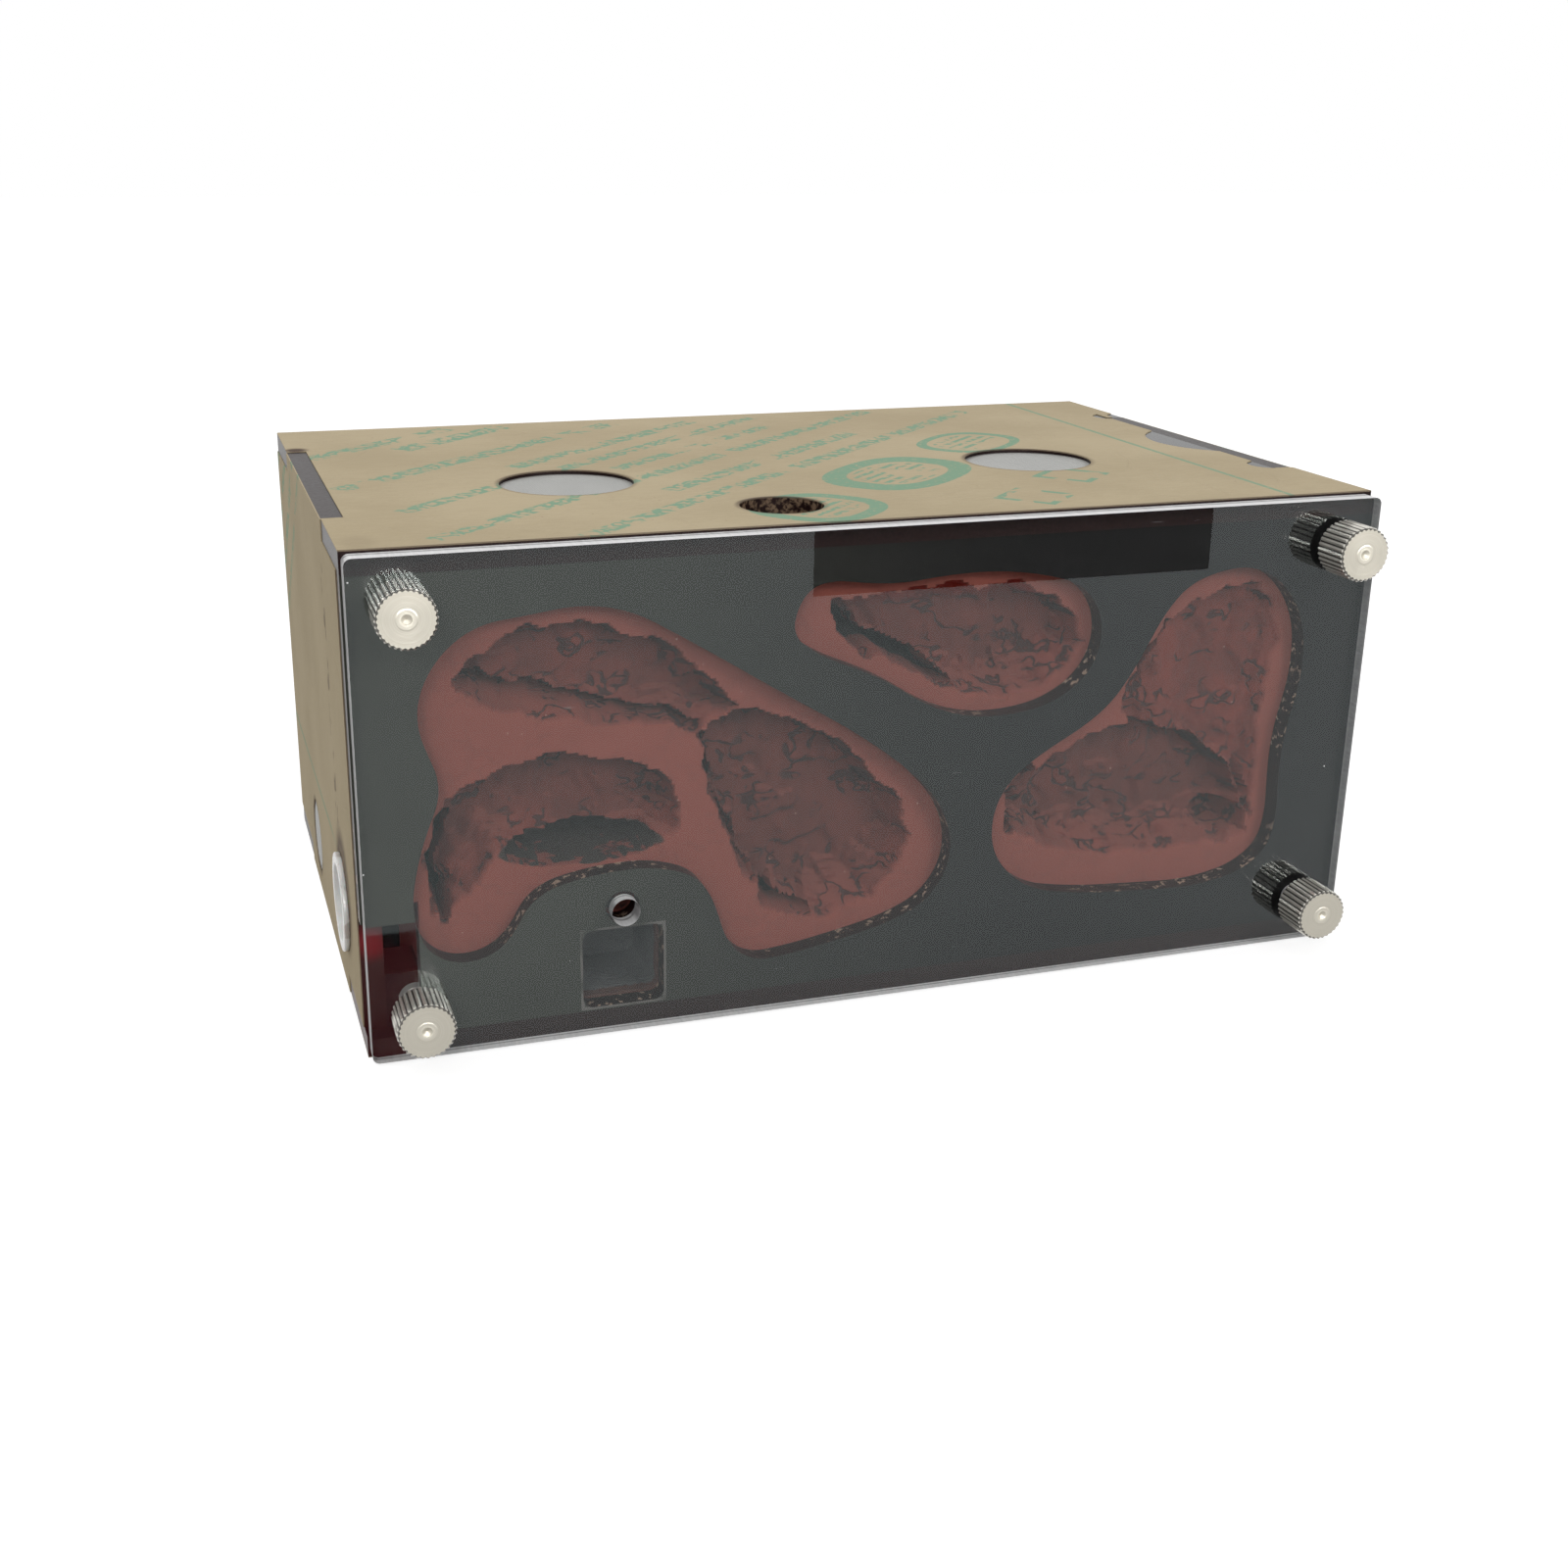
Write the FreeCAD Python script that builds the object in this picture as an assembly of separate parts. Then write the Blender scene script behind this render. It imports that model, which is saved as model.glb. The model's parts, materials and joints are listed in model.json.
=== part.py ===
import FreeCAD, Part
import math
import os

# Ant habitat: a laser-cut acrylic box with a carved plaster nest behind a windowed
# front plate, under a clear cover that four thumb screws hold.
# All sizes are millimetres. X runs right, Y runs back and Z runs up.
# The origin is the middle of the footprint, on the surface that the box stands on.

# Case
case_width = 150.0
case_depth = 95.0
case_height = 70.0
sheet_thickness = 3.0
mask_thickness = 0.15
tab_length = 54.0
tab_gap = 0.1

# Clear cover
cover_thickness = 3.0
cover_reveal = 0.3
cover_gap = 0.05
cover_corner_radius = 1.0
watering_hole_radius = 2.0
watering_channel_radius = 2.4
watering_hole_x = -39.4
watering_hole_height = 18.3

# Vents in the top and in the left side
vent_radius = 10.0
vent_spacing = 75.2
vent_setback = 37.3
side_vent_radius = 6.0
side_vent_setback = 62.0
mesh_clearance = 0.05
mesh_recess = 0.4
mesh_thickness = 0.4

# Hydration hole in the top and the well below it
hydration_radius = 6.0
hydration_x = -12.4
hydration_setback = 12.7
well_radius = 6.5
well_depth = 9.0

# Entrance port in the left side and its plug
entrance_radius = 6.25
entrance_setback = 21.0
entrance_height = 14.4
plug_clearance = 0.05
plug_inner_length = 0.2
plug_flange_radius = 7.2
plug_flange_thickness = 0.8

# Nest block and its carving
block_depth = 22.0
block_clearance = 0.2
corridor_width = 4.8
corridor_headroom = 0.5
notch_width = 7.5
notch_height = 16.5
pocket_size = 11.6
pocket_corner_radius = 1.5
pocket_x = -39.4
pocket_sill = 0.5
pocket_depth = 14.0
passage_radius = 3.2
link_radius = 2.2
link_depth = 3.4
back_wall_least = 4.0
cut_overlap = 1.0

# Thumb screws, corner posts and inserts
screw_radius = 1.5
screw_pitch = 0.5
screw_turns = 12
screw_hole_clearance = 0.25
running_clearance = 0.05
knob_radius = 4.0
knob_height = 5.7
knob_bore_depth = 3.5
knob_bevel = 0.25
knurl_count = 32
knurl_depth = 0.22
dimple_radius = 0.7
dimple_depth = 0.4
undone_turns = 2
post_size = 8.0
post_length = 8.5
insert_wall = 0.75
insert_fit = 0.02

# The windows and the carving are drawn on a front of this size and stretched to the case.
drawing_width = 150.0
drawing_height = 70.0

# Places that several pieces share
half_width = case_width / 2
half_depth = case_depth / 2
base = mask_thickness
top = base + case_height
floor = base + sheet_thickness
ceiling = top - sheet_thickness
inner_half_width = half_width - sheet_thickness
front = -half_depth
back = half_depth
plate_back = front + sheet_thickness
block_back = plate_back + block_depth
cover_back = front - cover_gap
cover_front = cover_back - cover_thickness
screw_x = inner_half_width - post_size / 2
screw_low = floor + post_size / 2
screw_high = ceiling - post_size / 2
screw_engagement = screw_pitch * screw_turns
side_vent_height = floor + side_vent_radius
vent_y = front + vent_setback
hydration_y = front + hydration_setback
entrance_y = front + entrance_setback
side_vent_y = front + side_vent_setback

# Where each thumb screw sits, as seen from the front, and how many turns it stands undone
corners = {
    "upper_left": (-screw_x, screw_high, 0),
    "upper_right": (screw_x, screw_high, undone_turns),
    "lower_left": (-screw_x, screw_low, 0),
    "lower_right": (screw_x, screw_low, undone_turns),
}

# Window outlines as smooth closed curves through these (x, height) points
left_window = [
    (-48.0, 61.0), (-37.0, 59.6), (-27.0, 53.8), (-15.0, 46.1), (-3.0, 38.3), (6.0, 30.3),
    (9.5, 21.3), (7.0, 14.8), (-3.0, 10.3), (-15.0, 8.0), (-22.6, 9.3), (-25.5, 14.8),
    (-28.4, 20.8), (-35.0, 23.3), (-45.0, 23.1), (-52.0, 20.3), (-55.5, 15.3), (-61.5, 12.6),
    (-66.5, 15.6), (-67.6, 23.3), (-66.0, 31.3), (-64.0, 38.0), (-66.3, 46.8), (-63.5, 55.3),
    (-55.8, 60.2),
]
middle_window = [
    (-15.0, 57.0), (-12.6, 61.4), (-3.0, 61.5), (8.0, 62.0), (19.0, 61.8), (28.0, 58.8),
    (31.5, 51.3), (27.0, 43.8), (18.0, 41.1), (8.0, 42.3), (-3.0, 48.3), (-12.0, 52.5),
]
right_window = [
    (52.0, 60.1), (61.6, 56.8), (65.4, 47.3), (63.8, 35.3), (63.6, 23.3), (62.3, 15.3),
    (53.0, 11.1), (37.0, 11.3), (23.0, 13.8), (16.5, 20.3), (17.5, 29.3), (25.0, 35.5),
    (34.0, 41.6), (39.5, 50.3), (45.0, 57.8),
]

# Carved chambers: an outline on the face of the block, and how deep the scoop goes
chambers = {
    "upper_left": (11.0, [
        (-62.0, 53.5), (-55.0, 58.0), (-44.5, 59.2), (-36.0, 56.5), (-30.0, 52.0), (-26.0, 47.5),
        (-33.0, 45.5), (-44.5, 48.5), (-55.0, 51.0),
    ]),
    "lower_left": (12.0, [
        (-63.5, 36.8), (-57.0, 40.0), (-46.5, 41.2), (-38.0, 38.8), (-32.0, 34.5), (-32.5, 28.8),
        (-40.0, 25.8), (-49.0, 25.9), (-57.0, 22.5), (-62.5, 18.5), (-65.6, 23.0), (-65.2, 31.0),
    ]),
    "lower_middle": (13.0, [
        (-22.5, 45.0), (-13.0, 41.8), (-3.0, 34.8), (3.5, 28.0), (6.0, 21.8), (2.0, 16.2),
        (-7.0, 12.6), (-14.0, 13.2), (-19.0, 17.5), (-23.5, 26.5), (-27.8, 37.5), (-27.0, 42.5),
    ]),
    "upper_middle": (12.0, [
        (-9.5, 59.5), (3.0, 60.4), (15.0, 60.8), (25.5, 57.5), (29.2, 51.5), (25.5, 45.6),
        (18.0, 43.2), (9.0, 46.4), (1.0, 50.6), (-7.0, 55.2),
    ]),
    "right": (13.0, [
        (42.5, 53.0), (51.0, 58.6), (59.8, 56.0), (63.2, 47.0), (61.0, 35.5), (60.6, 24.0),
        (58.0, 16.0), (46.0, 13.2), (33.0, 14.2), (22.5, 17.8), (18.8, 24.2), (21.5, 31.2),
        (30.0, 36.2), (37.0, 41.3),
    ]),
}
scoop_ratio = 0.72
knife_strokes = 32
curve_tolerance = 0.25

# Passages through the plaster, as (x, height) of the two ends
passages = [
    ((-29.5, 47.5), (3.0, 53.5)),
    ((26.0, 50.0), (44.0, 48.0)),
]
back_passages = [(-46.0, 31.0), (50.0, 24.0)]

# Torn places at the right edge of the top paper, as (setback, length, reach inwards)
torn_places = [(23.5, 7.0, 2.4), (47.5, 22.0, 5.4), (75.5, 6.0, 2.0)]


def vector(x, y, z):
    return FreeCAD.Vector(x, y, z)


def block(x0, x1, y0, y1, z0, z1):
    """A box between two corners."""
    return Part.makeBox(x1 - x0, y1 - y0, z1 - z0, vector(x0, y0, z0))


def rod(radius, start, end):
    """A round bar from one point to another."""
    along = end.sub(start)
    return Part.makeCylinder(radius, along.Length, start, along)


def depth_rod(radius, x, z, y0, y1):
    """A round bar that runs front to back."""
    return rod(radius, vector(x, y0, z), vector(x, y1, z))


def stretch(points):
    """Drawing points carried to the real front, which may be of another size."""
    scale_x = case_width / drawing_width
    scale_z = case_height / drawing_height
    return [(x * scale_x, base + z * scale_z) for x, z in points]


def smooth_curve(points, y):
    """A smooth closed curve through the points, in the plane at depth y."""
    curve = Part.BSplineCurve()
    curve.interpolate([vector(x, y, z) for x, z in points], PeriodicFlag=True)
    return curve


def window_cutter(points):
    """The prism that cuts one free-form window out of the front plate, as a run of tangent arcs."""
    arcs = smooth_curve(stretch(points), front).toBiArcs(curve_tolerance)
    face = Part.Face(Part.Wire([arc.toShape() for arc in arcs]))
    return face.extrude(vector(0, sheet_thickness, 0))


def shrunk(points, ratio):
    """The same outline, drawn smaller about its middle."""
    middle_x = sum(x for x, z in points) / len(points)
    middle_z = sum(z for x, z in points) / len(points)
    return [(middle_x + (x - middle_x) * ratio, middle_z + (z - middle_z) * ratio) for x, z in points]


def knife_cut(points, y):
    """A smooth outline followed with straight strokes of equal length."""
    return Part.makePolygon(smooth_curve(points, y).discretize(Number=knife_strokes + 1))


def faceted_solid(rings):
    """A solid with flat facets between closed polygons that have their corners in step."""
    faces = [Part.Face(rings[0]), Part.Face(rings[-1])]
    for near, far in zip(rings, rings[1:]):
        near_corners = [v.Point for v in near.OrderedVertexes]
        far_corners = [v.Point for v in far.OrderedVertexes]
        for i in range(len(near_corners)):
            facet = [near_corners[i - 1], near_corners[i], far_corners[i], far_corners[i - 1]]
            faces.append(Part.Face(Part.makePolygon(facet + [facet[0]])))
    return Part.Solid(Part.Shell(faces))


def scoop(depth, points):
    """One carved chamber with walls that slope in to its floor."""
    outline = stretch(points)
    depth = min(depth, block_depth - back_wall_least)
    mouth = knife_cut(outline, plate_back)
    floor_ring = knife_cut(shrunk(outline, scoop_ratio), plate_back + depth)
    return faceted_solid([mouth, floor_ring])


def rounded_prism(x0, x1, z0, z1, radius, y0, y1):
    """A box along Y whose four long edges are rounded."""
    box = block(x0, x1, y0, y1, z0, z1)
    long_edges = [e for e in box.Edges if abs(e.tangentAt(0).y) > 0.5]
    return box.makeFillet(radius, long_edges)


def pocket_cutter(y0, y1):
    """The square window, or the pocket behind it, between two depths."""
    low = floor + pocket_sill
    left = pocket_x - pocket_size / 2
    return rounded_prism(left, left + pocket_size, low, low + pocket_size, pocket_corner_radius, y0, y1)


def tab_slot(side, z0, z1):
    """The slot in the edge of the top or bottom panel that takes a side panel's tab."""
    reach = tab_length / 2 + tab_gap
    edge = side * half_width
    inner = side * inner_half_width
    return block(min(edge, inner), max(edge, inner), -reach, reach, z0, z1)


def horizontal_panel(z0, z1):
    """The top or bottom sheet with its two tab slots."""
    panel = block(-half_width, half_width, front, back, z0, z1)
    return panel.cut([tab_slot(-1, z0, z1), tab_slot(1, z0, z1)])


def top_holes(z0, z1):
    """Cutters for the two vents and the hydration hole."""
    places = [(-vent_spacing / 2, vent_y, vent_radius), (vent_spacing / 2, vent_y, vent_radius)]
    places.append((hydration_x, hydration_y, hydration_radius))
    return [rod(r, vector(x, y, z0), vector(x, y, z1)) for x, y, r in places]


def side_holes(x0, x1):
    """Cutters for the entrance port and the rear vent in the left side."""
    places = [(entrance_y, entrance_height, entrance_radius)]
    places.append((side_vent_y, side_vent_height, side_vent_radius))
    return [rod(r, vector(x0, y, z), vector(x1, y, z)) for y, z, r in places]


def side_outline(x0, x1):
    """The side panel's outline with its tab above and below, or the paper over it."""
    body = block(x0, x1, plate_back, back, floor, ceiling)
    tabs = block(x0, x1, -tab_length / 2, tab_length / 2, base, top)
    return body.fuse(tabs).removeSplitter()


def watering_bore(radius, y0, y1):
    """Cutter for the watering hole through one layer."""
    return depth_rod(radius, watering_hole_x, watering_hole_height, y0, y1)


def top_panel():
    return horizontal_panel(ceiling, top).cut(top_holes(ceiling, top))


def bottom_panel():
    return horizontal_panel(base, floor)


def left_side_panel():
    return side_outline(-half_width, -inner_half_width).cut(side_holes(-half_width, -inner_half_width))


def right_side_panel():
    return side_outline(inner_half_width, half_width)


def back_panel():
    return block(-inner_half_width, inner_half_width, back - sheet_thickness, back, floor, ceiling)


def front_plate():
    """The dark plate with its windows, corner notch, square window and screw holes."""
    plate = block(-half_width, half_width, front, plate_back, floor, ceiling)
    cutters = [window_cutter(points) for points in (left_window, middle_window, right_window)]
    cutters.append(pocket_cutter(front, plate_back))
    notch_right = notch_width - half_width
    cutters.append(block(-half_width, notch_right, front, plate_back, floor, floor + notch_height))
    cutters.append(watering_bore(watering_channel_radius, front, plate_back))
    for x, z, turns in corners.values():
        cutters.append(depth_rod(screw_radius + screw_hole_clearance, x, z, front, plate_back))
    return plate.cut(cutters)


def front_cover():
    """The clear sheet over the whole front."""
    edge = half_width - cover_reveal
    cover = rounded_prism(-edge, edge, base + cover_reveal, top - cover_reveal,
                          cover_corner_radius, cover_front, cover_back)
    cutters = [watering_bore(watering_hole_radius, cover_front, cover_back)]
    for x, z, turns in corners.values():
        cutters.append(depth_rod(screw_radius + screw_hole_clearance, x, z, cover_front, cover_back))
    return cover.cut(cutters)


def post_seat(x, z):
    """The square space that one corner post fills, grown a little for the plaster around it."""
    half = post_size / 2 + block_clearance
    seat_back = plate_back + post_length + block_clearance
    return block(x - half, x + half, plate_back, seat_back, z - half, z + half)


def straight_passage(start, end):
    """A tunnel between two chambers, one passage radius and a wall behind the face."""
    (x0, z0), (x1, z1) = stretch([start, end])
    y = plate_back + 2 * passage_radius
    return rod(passage_radius, vector(x0, y, z0), vector(x1, y, z1))


def corridor_cutters(side):
    """The way in from the entrance port along the block's left end, and its link to the nest."""
    inner_end = -inner_half_width + corridor_width
    roof = entrance_height + entrance_radius + corridor_headroom
    corridor = block(-side, inner_end, plate_back, block_back, floor, roof)
    link_y = plate_back + link_depth
    link_z = roof - link_radius
    link_start = vector(inner_end - cut_overlap, link_y, link_z)
    link_end = vector(inner_end + 2 * link_radius, link_y, link_z)
    return [corridor, rod(link_radius, link_start, link_end)]


def watering_cutters():
    """The square pocket and the channel that runs down into it from the watering hole."""
    radius = watering_channel_radius
    turn_y = plate_back + 2 * radius
    inwards = watering_bore(radius, plate_back, turn_y + radius)
    down = rod(radius, vector(watering_hole_x, turn_y, floor + pocket_size),
               vector(watering_hole_x, turn_y, watering_hole_height))
    return [pocket_cutter(plate_back, plate_back + pocket_depth), inwards, down]


def nest_block():
    """The plaster: chambers, tunnels, corridor, square pocket, watering channel and well."""
    side = inner_half_width - block_clearance
    roof = ceiling - block_clearance
    nest = block(-side, side, plate_back, block_back, floor, roof)
    cutters = [scoop(depth, points) for depth, points in chambers.values()]
    cutters += [straight_passage(start, end) for start, end in passages]
    for x, z in stretch(back_passages):
        cutters.append(depth_rod(passage_radius, x, z, plate_back + cut_overlap, block_back))
    cutters += corridor_cutters(side)
    cutters += watering_cutters()
    cutters.append(rod(well_radius, vector(hydration_x, hydration_y, roof - well_depth),
                       vector(hydration_x, hydration_y, roof)))
    cutters += [post_seat(x, z) for x, z, turns in corners.values()]
    return nest.cut(cutters)


def top_mask():
    """Masking paper on the top, torn away in places at the right edge."""
    paper = block(-half_width, half_width, front, back, top, top + mask_thickness)
    cutters = top_holes(top, top + mask_thickness)
    cutters += [tab_slot(-1, top, top + mask_thickness), tab_slot(1, top, top + mask_thickness)]
    for setback, length, reach in torn_places:
        y = front + setback
        edge = [vector(half_width, y - length / 2, top), vector(half_width - reach, y, top),
                vector(half_width, y + length / 2, top)]
        tear = Part.Wire([Part.Arc(*edge).toShape(), Part.makeLine(edge[2], edge[0])])
        inner_tear = Part.Face(tear).extrude(vector(0, 0, mask_thickness))
        inner_tear.translate(vector(-sheet_thickness, 0, 0))
        cutters.append(inner_tear)
        cutters.append(Part.Face(tear).extrude(vector(0, 0, mask_thickness)))
    return paper.cut(cutters)


def bottom_mask():
    return block(-half_width, half_width, front, back, base - mask_thickness, base)


def left_mask():
    paper = side_outline(-half_width - mask_thickness, -half_width)
    return paper.cut(side_holes(-half_width - mask_thickness, -half_width))


def right_mask():
    return side_outline(half_width, half_width + mask_thickness)


def back_mask():
    return block(-inner_half_width, inner_half_width, back, back + mask_thickness, floor, ceiling)


def revolved(profile, start, direction):
    """Turn a closed (radius, height) profile into a solid, then lay its axis along a direction."""
    points = [vector(r, 0, h) for r, h in profile]
    face = Part.Face(Part.makePolygon(points + [points[0]]))
    solid = face.revolve(vector(0, 0, 0), vector(0, 0, 1), 360)
    turn = FreeCAD.Rotation(vector(0, 0, 1), direction)
    solid.Placement = FreeCAD.Placement(start, turn)
    return solid


def mesh_disc(radius, mouth, outwards):
    """A disc of fine steel mesh, set just below the mouth of its hole."""
    outer = radius - mesh_clearance
    face = -mesh_recess
    profile = [(0, face - mesh_thickness), (outer, face - mesh_thickness), (outer, face), (0, face)]
    return revolved(profile, mouth, outwards)


def entrance_plug():
    """A soft stopper: a thin flange outside and a spigot in the port."""
    spigot = entrance_radius - plug_clearance
    inner_end = -(mask_thickness + sheet_thickness + plug_inner_length)
    profile = [(0, inner_end), (spigot, inner_end), (spigot, 0), (plug_flange_radius, 0),
               (plug_flange_radius, plug_flange_thickness), (0, plug_flange_thickness)]
    mouth = vector(-half_width - mask_thickness, entrance_y, entrance_height)
    return revolved(profile, mouth, vector(-1, 0, 0))


def knurled_ring(scale, height):
    """A ring of shallow V grooves, as a closed polygon at one height."""
    corners = []
    for index in range(2 * knurl_count):
        angle = math.pi * index / knurl_count
        reach = scale * (knob_radius - knurl_depth * (index % 2))
        corners.append(vector(reach * math.cos(angle), reach * math.sin(angle), height))
    return Part.makePolygon(corners + [corners[0]])


def knob(x, z, turns):
    """The head of a thumb screw: straight knurls, a bevelled outer end and a centre dimple."""
    bevel_start = knob_height - knob_bevel
    outer_scale = 1 - knob_bevel / knob_radius
    rings = [knurled_ring(1, 0), knurled_ring(1, bevel_start), knurled_ring(outer_scale, knob_height)]
    head = faceted_solid(rings)
    dimple = Part.makeCone(0, dimple_radius, dimple_depth, vector(0, 0, knob_height - dimple_depth))
    head = head.cut([Part.makeCylinder(screw_radius + running_clearance, knob_bore_depth), dimple])
    seat = vector(x, cover_front - turns * screw_pitch, z)
    head.Placement = FreeCAD.Placement(seat, FreeCAD.Rotation(vector(0, 0, 1), vector(0, -1, 0)))
    return head


def stud(x, z, turns):
    """The shank of a thumb screw, from inside its knob to the end of its thread."""
    undone = turns * screw_pitch
    start = cover_front - knob_bore_depth + running_clearance - undone
    end = plate_back + screw_engagement - undone
    return depth_rod(screw_radius, x, z, start, end)


def threaded_insert(x, z):
    """The metal insert that takes one screw."""
    bore = screw_radius + running_clearance
    insert_back = plate_back + screw_engagement
    sleeve = depth_rod(bore + insert_wall, x, z, plate_back, insert_back)
    return sleeve.cut(depth_rod(bore, x, z, plate_back, insert_back))


def corner_post(x, z):
    """The glued block behind one corner of the plate, drilled for its insert."""
    half = post_size / 2
    post = block(x - half, x + half, plate_back, plate_back + post_length, z - half, z + half)
    hole = screw_radius + running_clearance + insert_wall + insert_fit
    return post.cut(depth_rod(hole, x, z, plate_back, plate_back + screw_engagement + screw_pitch))


def export(name, shape):
    shape.exportStep("parts/" + name + ".step")
    print(name, "solids", len(shape.Solids), "valid", shape.isValid(), "volume", round(shape.Volume, 2))


panels = {
    "bottom_panel": bottom_panel, "top_panel": top_panel, "back_panel": back_panel,
    "left_side_panel": left_side_panel, "right_side_panel": right_side_panel,
    "front_plate": front_plate, "nest_block": nest_block, "front_cover": front_cover,
    "top_mask": top_mask, "bottom_mask": bottom_mask, "left_mask": left_mask,
    "right_mask": right_mask, "back_mask": back_mask, "entrance_plug": entrance_plug,
}
for name, make in panels.items():
    export(name, make())

export("vent_mesh_left", mesh_disc(vent_radius, vector(-vent_spacing / 2, vent_y, top), vector(0, 0, 1)))
export("vent_mesh_right", mesh_disc(vent_radius, vector(vent_spacing / 2, vent_y, top), vector(0, 0, 1)))
side_mouth = vector(-half_width, side_vent_y, side_vent_height)
export("vent_mesh_side", mesh_disc(side_vent_radius, side_mouth, vector(-1, 0, 0)))

for corner, (x, z, turns) in corners.items():
    export("knob_" + corner, knob(x, z, turns))
    export("stud_" + corner, stud(x, z, turns))
    export("insert_" + corner, threaded_insert(x, z))
    export("corner_post_" + corner, corner_post(x, z))
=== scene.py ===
import json
import math

import bpy
from mathutils import Matrix, Vector, noise


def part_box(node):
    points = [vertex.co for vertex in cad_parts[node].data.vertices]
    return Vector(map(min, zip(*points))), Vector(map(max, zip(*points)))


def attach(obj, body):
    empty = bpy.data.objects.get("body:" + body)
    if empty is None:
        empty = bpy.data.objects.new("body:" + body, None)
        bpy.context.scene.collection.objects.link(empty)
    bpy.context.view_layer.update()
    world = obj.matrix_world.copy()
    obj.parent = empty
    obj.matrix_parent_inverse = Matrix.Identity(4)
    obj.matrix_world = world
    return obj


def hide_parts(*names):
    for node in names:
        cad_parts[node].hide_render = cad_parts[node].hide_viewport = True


# The looks of an ant habitat: a box of dark acrylic under its masking paper, with a
# carved plaster nest behind a windowed plate and a clear cover with four thumb screws.
# Blender works in metres. The places and patterns below are in millimetres, apart from
# the lamps, the cards, the camera and the floor, which are in metres.

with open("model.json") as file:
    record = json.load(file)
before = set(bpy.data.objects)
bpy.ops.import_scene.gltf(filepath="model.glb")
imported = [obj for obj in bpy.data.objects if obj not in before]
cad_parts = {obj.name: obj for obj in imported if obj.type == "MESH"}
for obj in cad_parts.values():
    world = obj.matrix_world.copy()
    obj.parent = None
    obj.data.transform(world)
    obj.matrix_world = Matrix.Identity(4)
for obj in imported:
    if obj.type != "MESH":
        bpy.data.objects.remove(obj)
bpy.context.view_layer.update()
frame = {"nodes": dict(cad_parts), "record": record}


def node_box(name):
    """The lowest and highest corner of a CAD node, in millimetres."""
    low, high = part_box(name)
    return Vector(low) * 1000, Vector(high) * 1000


plate_front, plate_back = (corner.y for corner in node_box("front_plate"))
cover_front, cover_back = (corner.y for corner in node_box("front_cover"))
nest_low, nest_high = node_box("nest_block")
post_low, post_high = node_box("corner_post_lower_left")
knob_low, knob_high = node_box("knob_upper_left")
vent_low, vent_high = node_box("vent_mesh_right")
side_low, side_high = node_box("vent_mesh_side")
port_low, port_high = node_box("entrance_plug")

screw_x = -(post_low.x + post_high.x) / 2
screw_z_low = (post_low.z + post_high.z) / 2
screw_z_high = (knob_low.z + knob_high.z) / 2
vent_x = (vent_low.x + vent_high.x) / 2
vent_y = (vent_low.y + vent_high.y) / 2
vent_radius = (vent_high.x - vent_low.x) / 2
side_vent_y = (side_low.y + side_high.y) / 2
side_vent_z = (side_low.z + side_high.z) / 2
side_vent_radius = (side_high.y - side_low.y) / 2
port_y = (port_low.y + port_high.y) / 2
port_z = (port_low.z + port_high.z) / 2

# Places that no node's box gives
case_half_width, case_half_depth = 75.0, 47.5
case_middle_z, case_half_height = 35.15, 35.1
well_x, well_y, well_radius, well_depth = -12.4, -34.8, 6.5, 9.0
hydration_radius = 6.0
corridor_right, corridor_top = -67.2, 21.15
notch_right, notch_top = -67.5, 19.65
pocket_left, pocket_right, pocket_bottom, pocket_top = -45.2, -33.6, 3.65, 15.25
pocket_depth = 14.0
watering_x, watering_z, watering_radius = -39.4, 18.3, 2.4
passages, passage_radius, passage_start = [(-46.0, 31.2), (50.0, 24.2)], 3.2, 12.0
post_room = 0.2

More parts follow.
